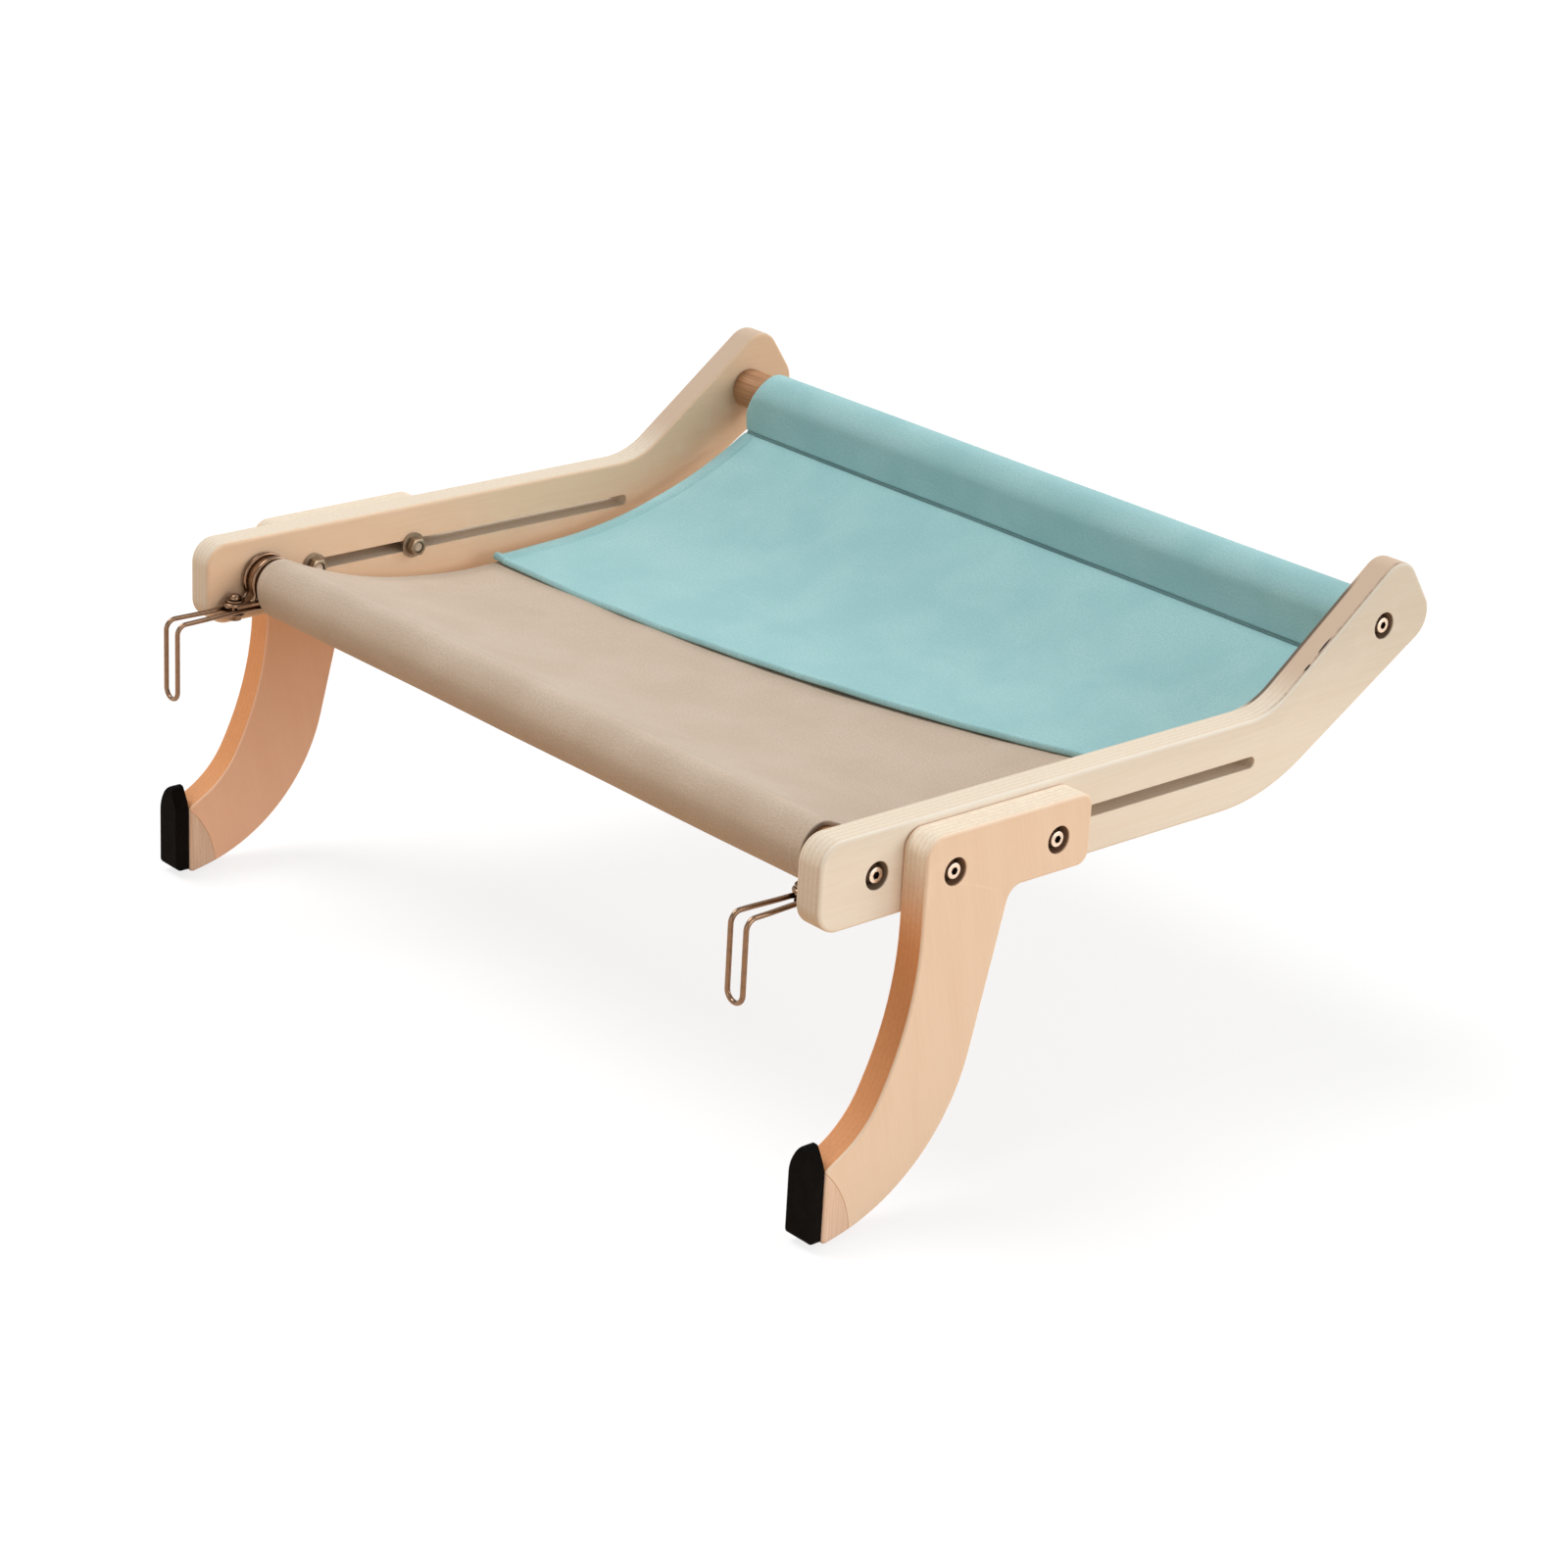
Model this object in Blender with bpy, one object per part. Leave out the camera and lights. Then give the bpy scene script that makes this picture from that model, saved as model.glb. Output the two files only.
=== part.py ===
"""Cat window perch: a cloth sling between two plywood rails, with sliding legs and wire sill hooks.

Frame: X runs along the dowels, Y from the window side to the raised rear end, Z up.
The origin lies midway between the rails, at their front ends, on the plane of their undersides.
"""
import math

import bmesh
import bpy
from mathutils import Matrix, Vector

# Clearances and shared working sizes
GAP = 0.0003                    # between touching pieces
RUNNING_GAP = 0.0004            # round a bolt that slides or passes through
OVERRUN = 0.002                 # how far cutters stand past the faces they cut
ROUND_STEP = math.radians(9)    # widest facet of an outline's round stretch
FASTENER_SIDES = 20             # facets round a bolt, washer or insert
SHARP = math.radians(35)

# Side rails
RAIL_SPAN = 0.560               # over the rails' outer faces
RAIL_THICKNESS = 0.018
RAIL_HEIGHT = 0.050
RAIL_CORNER = 0.014
RAIL_EDGE = 0.0022              # rounding of the rail's long edges
BEND_Y = 0.328                  # where the tail leaves the straight part
BEND_INSIDE = 0.050
BEND_UNDER = 0.120
TAIL_ANGLE = math.radians(34.25)
TAIL_TAPER = math.radians(2.75)
TAIL_REACH = 0.1056             # from the bend to the rear dowel, along the tail
TIP_MARGIN = 0.0345             # from the rear dowel to the tail's end
TIP_CORNER = 0.016
SLOT_WIDTH = 0.0068
SLOT_REAR_Y = 0.3140

# Dowels and their bolts
DOWEL_DIAMETER = 0.025
DOWEL_CHAMFER = 0.0008
FRONT_DOWEL_Y = 0.0386
SHANK = 0.006
HEAD_DIAMETER = 0.0088
HEAD_HEIGHT = 0.0052
HEAD_EDGE = 0.0005
SOCKET_FLATS = 0.004
SOCKET_DEPTH = 0.0025
COUNTERBORE = 0.0155
COUNTERBORE_DEPTH = 0.0078
WASHER_DIAMETER = 0.0146
WASHER_THICKNESS = 0.0012
DOWEL_BOLT_LENGTH = 0.028
INSERT_DIAMETER = 0.0095
INSERT_FLANGE = 0.012
INSERT_FLANGE_THICKNESS = 0.001
INSERT_LENGTH = 0.020

# Legs
LEG_THICKNESS = 0.018
LEG_EDGE = 0.0016
LEG_BOLT_Y = 0.0753
LEG_BOLT_SPACING = 0.0734
HEAD_FRONT = 0.0200             # from the front bolt to the leg's front edge
HEAD_REAR = 0.0233              # from the rear bolt to the head's rear edge
HEAD_RISE = 0.0215              # from the bolts up to the head's top edge
HEAD_DROP = 0.0185
HEAD_TOP_CORNER = 0.011
HEAD_REAR_CORNER = 0.0075
CROTCH_RADIUS = 0.010
SHANK_WIDTH = 0.0612            # of the leg just under its head
LEG_DROP = 0.1220               # from the rail's underside down to the foot's upper corner
FOOT_HEIGHT = 0.0425
FOOT_CORNER = 0.003
FOOT_FORWARD_SHARE = 0.4614      # of the drop: the foot's end face, ahead of the leg's front edge
KNEE_DEPTH_SHARE = 0.3953        # of the drop: the front edge's upper turning corner
KNEE_RADIUS_SHARE = 1.4764
SHIN_DEPTH_SHARE = 0.8742        # of the drop: the front edge's lower turning corner
SHIN_FORWARD_SHARE = 0.2443
SHIN_RADIUS_SHARE = 0.4915
CALF_BACK_SHARE = 0.1923         # of the drop: the rear edge's turning corner, behind the front edge
CALF_RISE_SHARE = 0.1302         # of the drop: and above the foot's lower corner
CALF_RADIUS_SHARE = 0.9033
LEG_BOLT_LENGTH = 0.0365
SLIDE_WASHER_DIAMETER = 0.016
NUT_FLATS = 0.010
NUT_HEIGHT = 0.0050
NUT_CHAMFER = 0.0006

# Feet
BLOCK_RADIUS = 0.060
BLOCK_SET_BACK = 0.0415         # centre of the block's arc, ahead of the foot's end face
BLOCK_DROP = 0.0018             # and below the foot's lower corner
PAD_THICKNESS = 0.0095
PAD_UPPER_CORNER = 0.0045       # seen from the side
PAD_LOWER_CORNER = 0.0040
PAD_SHOULDER_DROP = 0.0150      # seen from the front, its sides lean in to a blunt point from here up
PAD_SHOULDER_RADIUS = 0.0220
PAD_TIP_RADIUS = 0.0032
PAD_MARGIN = 0.0006
PAD_SET_UP = 0.0030             # its lower end, above the foot's lower corner
PAD_RISE = 0.0130               # its tip, above the foot's upper corner

# Cloth
CLOTH_SIDE_GAP = 0.0025         # from the cloth's side edge to the hook's ring
COVER_RAIL_GAP = 0.0035         # from the cover's sleeve to the right rail
COVER_TAPER_Y = 0.330           # where the cover's right edge starts to widen towards its sleeve
COVER_TAPER_LENGTH = 0.068
CLOTH_THICKNESS = 0.0022
SLEEVE_EASE = 0.0006            # of a sleeve round its dowel
FRONT_SLEEVE_SLACK = 0.0050     # how far the front sleeve hangs below its dowel
SAG_DEPTH = 0.0380
SAG_POWER_SHARE = 2.6
SEAM_FORWARD = 0.0115           # the rear sleeve's seam, ahead of the rear dowel's axis
SEAM_DROP = 0.0260
BASE_END_SHARE = 0.955
CREASE_ANGLE = math.radians(64)
CREASE_SPREAD = math.radians(22)
HEM_EDGE_Y = 0.1985             # the cover's front hem at the left edge
HEM_SKEW = 0.0760               # how much further back it lies at the right edge
HEM_SKEW_POWER_SHARE = 2.3
HEM_ROLL = 0.0016
CLOTH_STATIONS = 8
SHEET_STEPS = 16
SLEEVE_STEPS = 20

# Sill hooks
WIRE_DIAMETER = 0.003
HOOK_SPACING = 0.009            # between the strands' centres at the dowel
HOOK_TIP_SPACING = 0.0118
HOOK_SIDE_GAP = 0.0015          # from the ring to the rail's inner face
HOOK_REACH = 0.0685             # of the arms ahead of the dowel's axis
HOOK_DROP = 0.0470              # of the tips below the arms
HOOK_BEND = 0.006
HOOK_FLARE_START = 0.030        # where the strands begin to part, ahead of the dowel's axis
RING_TURN = math.radians(288)
TAIL_BEND = 0.0045
HOOK_TAIL_END = 0.0262
CLAMP_PLACE = 0.0245            # of the clamp bolt, ahead of the dowel's axis
CLAMP_SHANK = 0.004
CLAMP_HEAD_DIAMETER = 0.0076
CLAMP_HEAD_HEIGHT = 0.0032
CLAMP_WASHER_DIAMETER = 0.0118
CLAMP_WASHER_THICKNESS = 0.001
CLAMP_NUT_FLATS = 0.007
CLAMP_NUT_HEIGHT = 0.0032

# Places worked out from the sizes above
SIDES = {"left": -1, "right": 1}
AXIS_Z = RAIL_HEIGHT / 2
OUTER_X = RAIL_SPAN / 2
INNER_X = OUTER_X - RAIL_THICKNESS
LEG_X = OUTER_X + GAP
LEG_OUTER_X = LEG_X + LEG_THICKNESS
REAR_DOWEL_Y = BEND_Y + TAIL_REACH * math.cos(TAIL_ANGLE)
REAR_DOWEL_Z = AXIS_Z + TAIL_REACH * math.sin(TAIL_ANGLE)
LEG_FRONT_Y = LEG_BOLT_Y - HEAD_FRONT
FOOT_FACE_Y = LEG_FRONT_Y - FOOT_FORWARD_SHARE * LEG_DROP
FOOT_TOP_Z = -LEG_DROP
FOOT_LOW_Z = FOOT_TOP_Z - FOOT_HEIGHT
BOLT_HOLE = SHANK + 2 * RUNNING_GAP
DOWEL_RADIUS = DOWEL_DIAMETER / 2
WIRE_RADIUS = WIRE_DIAMETER / 2
RING_RADIUS = DOWEL_RADIUS + GAP + WIRE_RADIUS
HOOK_X = INNER_X - HOOK_SIDE_GAP - WIRE_RADIUS - HOOK_SPACING / 2
CLOTH_HALF_WIDTH = HOOK_X - HOOK_SPACING / 2 - WIRE_RADIUS - CLOTH_SIDE_GAP
COVER_RIGHT_X = INNER_X - COVER_RAIL_GAP

FINISHES = {
    "rail_birch": ((0.800, 0.670, 0.520), 0.55, 0.0),
    "leg_wood": ((0.690, 0.430, 0.270), 0.55, 0.0),
    "block_wood": ((0.700, 0.500, 0.360), 0.60, 0.0),
    "dowel_wood": ((0.360, 0.180, 0.080), 0.60, 0.0),
    "black_pad": ((0.006, 0.005, 0.004), 0.85, 0.0),
    "beige_cloth": ((0.560, 0.450, 0.350), 0.90, 0.0),
    "teal_cloth": ((0.300, 0.510, 0.500), 0.90, 0.0),
    "nickel": ((0.480, 0.400, 0.330), 0.25, 1.0),
    "dark_steel": ((0.230, 0.190, 0.160), 0.35, 1.0),
    "brass": ((0.560, 0.420, 0.200), 0.35, 1.0),
}


def clear_scene():
    """Remove every object of the open file."""
    for obj in list(bpy.data.objects):
        bpy.data.objects.remove(obj, do_unlink=True)


def finish(name):
    """Return the named finish as a material, made on first use."""
    material = bpy.data.materials.get(name)
    if material is None:
        color, roughness, metallic = FINISHES[name]
        material = bpy.data.materials.new(name)
        material.use_nodes = True
        shader = material.node_tree.nodes["Principled BSDF"]
        shader.inputs["Base Color"].default_value = (*color, 1.0)
        shader.inputs["Roughness"].default_value = roughness
        shader.inputs["Metallic"].default_value = metallic
    return material


def add_object(name, mesh, material, parent=None):
    """Link a mesh to the scene under its name, with its finish and parent."""
    obj = bpy.data.objects.new(name, mesh)
    bpy.context.scene.collection.objects.link(obj)
    mesh.materials.clear()
    mesh.materials.append(finish(material))
    mesh.shade_smooth()
    mesh.set_sharp_from_angle(angle=SHARP)
    if parent is not None:
        obj.parent = parent
        obj.matrix_parent_inverse = parent.matrix_world.inverted()
    return obj


def add_pivot(name, place):
    """Add an empty at a moving body's joint axis."""
    pivot = bpy.data.objects.new(name, None)
    pivot.location = place
    bpy.context.scene.collection.objects.link(pivot)
    bpy.context.view_layer.update()
    return pivot


def mesh_from(build, name):
    """Run a bmesh builder and return its mesh, faces outwards."""
    bm = bmesh.new()
    build(bm)
    bmesh.ops.recalc_face_normals(bm, faces=bm.faces)
    mesh = bpy.data.meshes.new(name)
    bm.to_mesh(mesh)
    bm.free()
    return mesh


def evaluated_mesh(obj, name):
    """Return the object's shape with its modifiers applied, as a mesh of its own."""
    graph = bpy.context.evaluated_depsgraph_get()
    graph.update()
    mesh = bpy.data.meshes.new_from_object(obj.evaluated_get(graph))
    mesh.name = name
    return mesh


def rounded_outline(corners):
    """Turn (y, z, radius) corners into outline points, each corner an arc of its radius."""
    points = []
    count = len(corners)
    for index, (y, z, radius) in enumerate(corners):
        corner = Vector((y, z))
        to_before = (Vector(corners[index - 1][:2]) - corner).normalized()
        to_after = (Vector(corners[(index + 1) % count][:2]) - corner).normalized()
        turn = math.pi - to_before.angle(to_after)
        if radius == 0 or turn == 0:
            points.append(corner)
            continue
        reach = radius * math.tan(turn / 2)
        start = corner + to_before * reach
        middle = (to_before + to_after).normalized()
        centre = corner + middle * (radius / math.cos(turn / 2))
        steps = max(2, math.ceil(turn / ROUND_STEP))
        side = 1 if to_before.cross(to_after) < 0 else -1
        arm = start - centre
        for step in range(steps + 1):
            angle = side * turn * step / steps
            points.append(centre + Matrix.Rotation(angle, 2) @ arm)
    return points


def plate_mesh(name, outline, x_near, x_far):
    """Extrude an outline in the YZ plane from one X to another."""
    def build(bm):
        verts = [bm.verts.new((x_near, y, z)) for y, z in outline]
        face = bm.faces.new(verts)
        moved = bmesh.ops.extrude_face_region(bm, geom=[face])
        far = [item for item in moved["geom"] if isinstance(item, bmesh.types.BMVert)]
        bmesh.ops.translate(bm, verts=far, vec=(x_far - x_near, 0, 0))
    return mesh_from(build, name)


def turned_mesh(name, profile, segments):
    """Spin a closed (along, radius) profile about the Z axis."""
    def build(bm):
        verts = [bm.verts.new((radius, 0, along)) for along, radius in profile]
        edges = [bm.edges.new((verts[i - 1], verts[i])) for i in range(len(verts))]
        on_axis = [edge for edge in edges if edge.verts[0].co.x == 0 and edge.verts[1].co.x == 0]
        bmesh.ops.delete(bm, geom=on_axis, context="EDGES")
        verts = [vert for vert in bm.verts if vert.is_valid]
        bmesh.ops.spin(bm, geom=verts + bm.edges[:], cent=(0, 0, 0), axis=(0, 0, 1),
                       angle=2 * math.pi, steps=segments, use_merge=True)
        bmesh.ops.remove_doubles(bm, verts=bm.verts, dist=GAP / 100)
    return mesh_from(build, name)


def prism_mesh(name, flats, height, sides=6):
    """A prism about Z from zero up to its height, with the given width over its flats."""
    def build(bm):
        radius = flats / 2 / math.cos(math.pi / sides)
        bmesh.ops.create_cone(bm, cap_ends=True, segments=sides, radius1=radius, radius2=radius,
                              depth=height, matrix=Matrix.Translation((0, 0, height / 2)))
    return mesh_from(build, name)


def along_x(place, side):
    """Matrix that stands a +Z shape along X, pointing out of the given side, at a place."""
    return Matrix.Translation(place) @ Matrix.Rotation(side * math.pi / 2, 4, "Y")


def placed_mesh(name, mesh, matrix):
    """A copy of a mesh, moved by a matrix."""
    copy = mesh.copy()
    copy.name = name
    copy.transform(matrix)
    return copy


def cut(target, cutter_mesh, name, operation="DIFFERENCE"):
    """Cut a shape out of an object with an exact Boolean and a hidden cutter."""
    cutter = bpy.data.objects.new(name, cutter_mesh)
    bpy.context.scene.collection.objects.link(cutter)
    cutter.hide_render = True
    cutter.display_type = "WIRE"
    modifier = target.modifiers.new(name, "BOOLEAN")
    modifier.operation = operation
    modifier.object = cutter
    modifier.solver = "EXACT"
    return cutter


def round_edges(obj, width, segments=2):
    """Round an object's sharp edges with a bevel."""
    bevel = obj.modifiers.new("edge_round", "BEVEL")
    bevel.width = width
    bevel.segments = segments
    bevel.limit_method = "ANGLE"
    bevel.angle_limit = SHARP


def drill_mesh(name, diameter, x_from, x_to, y, z, segments=24):
    """A round cutter along X between two X places."""
    def build(bm):
        centre = ((x_from + x_to) / 2, y, z)
        matrix = Matrix.Translation(centre) @ Matrix.Rotation(math.pi / 2, 4, "Y")
        bmesh.ops.create_cone(bm, cap_ends=True, segments=segments, radius1=diameter / 2,
                              radius2=diameter / 2, depth=abs(x_to - x_from), matrix=matrix)
    return mesh_from(build, name)


def drill_and_counterbore(target, name, side, x_in, x_out, y, z):
    """Cut a bolt hole through a plate, and its counterbore in the outer face."""
    low = side * (x_in - OVERRUN)
    high = side * (x_out + OVERRUN)
    cut(target, drill_mesh(name + "_drill", BOLT_HOLE, low, high, y, z), name + "_drill")
    floor = side * (x_out - COUNTERBORE_DEPTH)
    cut(target, drill_mesh(name + "_sink", COUNTERBORE, floor, high, y, z), name + "_sink")


def rail_outline():
    """Side view of a rail: straight, then an upswept, slightly tapering tail."""
    along = Vector((math.cos(TAIL_ANGLE), math.sin(TAIL_ANGLE)))
    tip = Vector((BEND_Y, AXIS_Z)) + along * (TAIL_REACH + TIP_MARGIN)

    def tip_corner(start_z, angle):
        """Where a tail edge from the bend meets the tail's square end."""
        edge = Vector((math.cos(angle), math.sin(angle)))
        start = Vector((BEND_Y, start_z))
        return start + edge * ((tip - start).dot(along) / edge.dot(along))

    top = tip_corner(RAIL_HEIGHT, TAIL_ANGLE + TAIL_TAPER)
    under = tip_corner(0, TAIL_ANGLE - TAIL_TAPER)
    return rounded_outline([
        (0, 0, RAIL_CORNER),
        (0, RAIL_HEIGHT, RAIL_CORNER),
        (BEND_Y, RAIL_HEIGHT, BEND_INSIDE),
        (top.x, top.y, TIP_CORNER),
        (under.x, under.y, TIP_CORNER),
        (BEND_Y, 0, BEND_UNDER),
    ])


def slot_outline():
    """Side view of the slot that the leg bolts run in."""
    half = SLOT_WIDTH / 2
    front = LEG_BOLT_Y - RUNNING_GAP - half
    rear = SLOT_REAR_Y + half
    return rounded_outline([
        (front, AXIS_Z - half, half),
        (front, AXIS_Z + half, half),
        (rear, AXIS_Z + half, half),
        (rear, AXIS_Z - half, half),
    ])


def build_rail(label, side):
    """One side rail with its slot and its two counterbored dowel holes."""
    name = label + "_side_rail"
    mesh = plate_mesh(name, rail_outline(), side * INNER_X, side * OUTER_X)
    rail = add_object(name, mesh, "rail_birch")
    round_edges(rail, RAIL_EDGE)
    slot = plate_mesh(name + "_slot", slot_outline(), side * (INNER_X - OVERRUN), side * (OUTER_X + OVERRUN))
    cut(rail, slot, name + "_slot")
    for place, y, z in (("front", FRONT_DOWEL_Y, AXIS_Z), ("rear", REAR_DOWEL_Y, REAR_DOWEL_Z)):
        drill_and_counterbore(rail, f"{name}_{place}", side, INNER_X, OUTER_X, y, z)
    return rail


def dowel_profile():
    """Half section of a dowel, with a bore and a flange seat in each end."""
    half = INNER_X - GAP
    bore = (INSERT_DIAMETER / 2) + GAP
    seat = (INSERT_FLANGE / 2) + GAP
    seat_depth = INSERT_FLANGE_THICKNESS + GAP
    bore_depth = DOWEL_BOLT_LENGTH
    end = [
        (half - bore_depth, 0),
        (half - bore_depth, bore),
        (half - seat_depth, bore),
        (half - seat_depth, seat),
        (half, seat),
        (half, DOWEL_RADIUS - DOWEL_CHAMFER),
        (half - DOWEL_CHAMFER, DOWEL_RADIUS),
    ]
    return end + [(-along, radius) for along, radius in reversed(end)]


def build_dowel(name, y, z):
    """One dowel between the rails."""
    turned = turned_mesh(name, dowel_profile(), 32)
    mesh = placed_mesh(name, turned, along_x((0, y, z), 1))
    return add_object(name, mesh, "dowel_wood")


def cap_screw_mesh(name, shank, length, head_diameter, head_height, socket_flats, socket_depth):
    """A socket cap screw along Z: the head's seat at zero, its shank below, its head above."""
    head = head_diameter / 2
    profile = [
        (-length, 0),
        (-length, shank / 2),
        (0, shank / 2),
        (0, head),
        (head_height - HEAD_EDGE, head),
        (head_height, head - HEAD_EDGE),
        (head_height, 0),
    ]
    body = bpy.data.objects.new(name, turned_mesh(name, profile, FASTENER_SIDES))
    bpy.context.scene.collection.objects.link(body)
    socket = prism_mesh(name + "_socket", socket_flats, socket_depth + OVERRUN)
    socket.transform(Matrix.Translation((0, 0, head_height - socket_depth)))
    cutter = cut(body, socket, name + "_socket")
    mesh = evaluated_mesh(body, name)
    for helper in (body, cutter):
        bpy.data.objects.remove(helper, do_unlink=True)
    return mesh


def washer_mesh(name, diameter, bore, thickness):
    """A flat washer along Z from zero up."""
    return turned_mesh(name, [(0, bore / 2), (thickness, bore / 2), (thickness, diameter / 2),
                              (0, diameter / 2)], FASTENER_SIDES)


def nut_mesh(name, flats, bore, height, chamfer):
    """A chamfered hex nut along Z from zero up."""
    body = bpy.data.objects.new(name, prism_mesh(name, flats, height))
    bpy.context.scene.collection.objects.link(body)
    across = flats / 2 / math.cos(math.pi / 6)
    hollow = [(0, bore / 2), (height, bore / 2), (height, across - 2 * chamfer),
              (height - chamfer, across), (chamfer, across), (0, across - 2 * chamfer)]
    turned = turned_mesh(name + "_turned", hollow, FASTENER_SIDES)
    cutter = cut(body, turned, name + "_turned", "INTERSECT")
    mesh = evaluated_mesh(body, name)
    for helper in (body, cutter):
        bpy.data.objects.remove(helper, do_unlink=True)
    return mesh


def insert_mesh(name):
    """A flanged threaded insert along Z, its flange's outer face at zero, its body below."""
    bore = BOLT_HOLE / 2
    return turned_mesh(name, [
        (0, bore),
        (0, INSERT_FLANGE / 2),
        (-INSERT_FLANGE_THICKNESS, INSERT_FLANGE / 2),
        (-INSERT_FLANGE_THICKNESS, INSERT_DIAMETER / 2),
        (-INSERT_LENGTH, INSERT_DIAMETER / 2),
        (-INSERT_LENGTH, bore),
    ], FASTENER_SIDES)


def build_dowel_fixings():
    """The bolt, washer and threaded insert at each end of each dowel."""
    bolt = cap_screw_mesh("cap_screw", SHANK, DOWEL_BOLT_LENGTH, HEAD_DIAMETER, HEAD_HEIGHT,
                          SOCKET_FLATS, SOCKET_DEPTH)
    washer = washer_mesh("washer", WASHER_DIAMETER, BOLT_HOLE, WASHER_THICKNESS)
    insert = insert_mesh("insert")
    washer_x = OUTER_X - COUNTERBORE_DEPTH + GAP
    head_x = washer_x + WASHER_THICKNESS + GAP
    insert_x = INNER_X - 2 * GAP
    for label, side in SIDES.items():
        for place, y, z in (("front", FRONT_DOWEL_Y, AXIS_Z), ("rear", REAR_DOWEL_Y, REAR_DOWEL_Z)):
            name = f"{label}_{place}_dowel"
            for kind, mesh, x, look in (("bolt", bolt, head_x, "dark_steel"),
                                        ("bolt_washer", washer, washer_x, "dark_steel"),
                                        ("insert", insert, insert_x, "brass")):
                piece = f"{name}_{kind}"
                placed = placed_mesh(piece, mesh, along_x((side * x, y, z), side))
                add_object(piece, placed, look)


def leg_outline():
    """Side view of a leg: a long head, and a shank that curves forwards to the foot."""
    front = LEG_FRONT_Y
    drop = LEG_DROP
    rear = LEG_BOLT_Y + LEG_BOLT_SPACING + HEAD_REAR
    top = AXIS_Z + HEAD_RISE
    low = AXIS_Z - HEAD_DROP
    return rounded_outline([
        (front, top, HEAD_TOP_CORNER),
        (rear, top, HEAD_REAR_CORNER),
        (rear, low, HEAD_REAR_CORNER),
        (front + SHANK_WIDTH, low, CROTCH_RADIUS),
        (front + CALF_BACK_SHARE * drop, FOOT_LOW_Z + CALF_RISE_SHARE * drop, CALF_RADIUS_SHARE * drop),
        (FOOT_FACE_Y, FOOT_LOW_Z, FOOT_CORNER),
        (FOOT_FACE_Y, FOOT_TOP_Z, FOOT_CORNER),
        (front - SHIN_FORWARD_SHARE * drop, -SHIN_DEPTH_SHARE * drop, SHIN_RADIUS_SHARE * drop),
        (front, -KNEE_DEPTH_SHARE * drop, KNEE_RADIUS_SHARE * drop),
    ])


def block_disc_mesh(name, side, radius):
    """The round body that parts a foot block from its leg."""
    return drill_mesh(name, 2 * radius, side * (LEG_X - OVERRUN), side * (LEG_OUTER_X + OVERRUN),
                      FOOT_FACE_Y - BLOCK_SET_BACK, FOOT_LOW_Z - BLOCK_DROP, 48)


def build_leg(label, side, pivot):
    """One leg, its foot block and its pad."""
    name = label + "_leg"
    leg = add_object(name, plate_mesh(name, leg_outline(), side * LEG_X, side * LEG_OUTER_X),
                     "leg_wood", pivot)
    round_edges(leg, LEG_EDGE)
    cut(leg, block_disc_mesh(name + "_seat", side, BLOCK_RADIUS + GAP), name + "_seat")
    for index in range(2):
        drill_and_counterbore(leg, f"{name}_{index}", side, LEG_X, LEG_OUTER_X,
                              LEG_BOLT_Y + index * LEG_BOLT_SPACING, AXIS_Z)

    block_name = label + "_foot_block"
    block = add_object(block_name, plate_mesh(block_name, leg_outline(), side * LEG_X, side * LEG_OUTER_X),
                       "block_wood", pivot)
    round_edges(block, LEG_EDGE)
    cut(block, block_disc_mesh(block_name + "_disc", side, BLOCK_RADIUS), block_name + "_disc", "INTERSECT")

    pad_name = label + "_foot_pad"
    back = FOOT_FACE_Y - GAP
    face = back - PAD_THICKNESS
    low = FOOT_LOW_Z + PAD_SET_UP
    high = FOOT_TOP_Z + PAD_RISE
    outline = rounded_outline([(back, low, 0), (face, low, PAD_LOWER_CORNER), (face, high, PAD_UPPER_CORNER),
                               (back, high, 0)])
    pad = add_object(pad_name, plate_mesh(pad_name, outline, side * LEG_X, side * LEG_OUTER_X),
                     "black_pad", pivot)
    middle = -side * (LEG_X + LEG_THICKNESS / 2)
    half = LEG_THICKNESS / 2 - PAD_MARGIN
    point = high + GAP + PAD_TIP_RADIUS * (math.hypot(half, PAD_SHOULDER_DROP) / half - 1)
    shoulder = point - PAD_SHOULDER_DROP
    front = rounded_outline([(middle - half, low - OVERRUN, 0), (middle - half, shoulder, PAD_SHOULDER_RADIUS),
                             (middle, point, PAD_TIP_RADIUS), (middle + half, shoulder, PAD_SHOULDER_RADIUS),
                             (middle + half, low - OVERRUN, 0)])
    arch = plate_mesh(pad_name + "_front", front, face - OVERRUN, back + OVERRUN)
    arch = placed_mesh(pad_name + "_arch", arch, Matrix.Rotation(math.pi / 2, 4, "Z"))
    cut(pad, arch, pad_name + "_arch", "INTERSECT")


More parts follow.
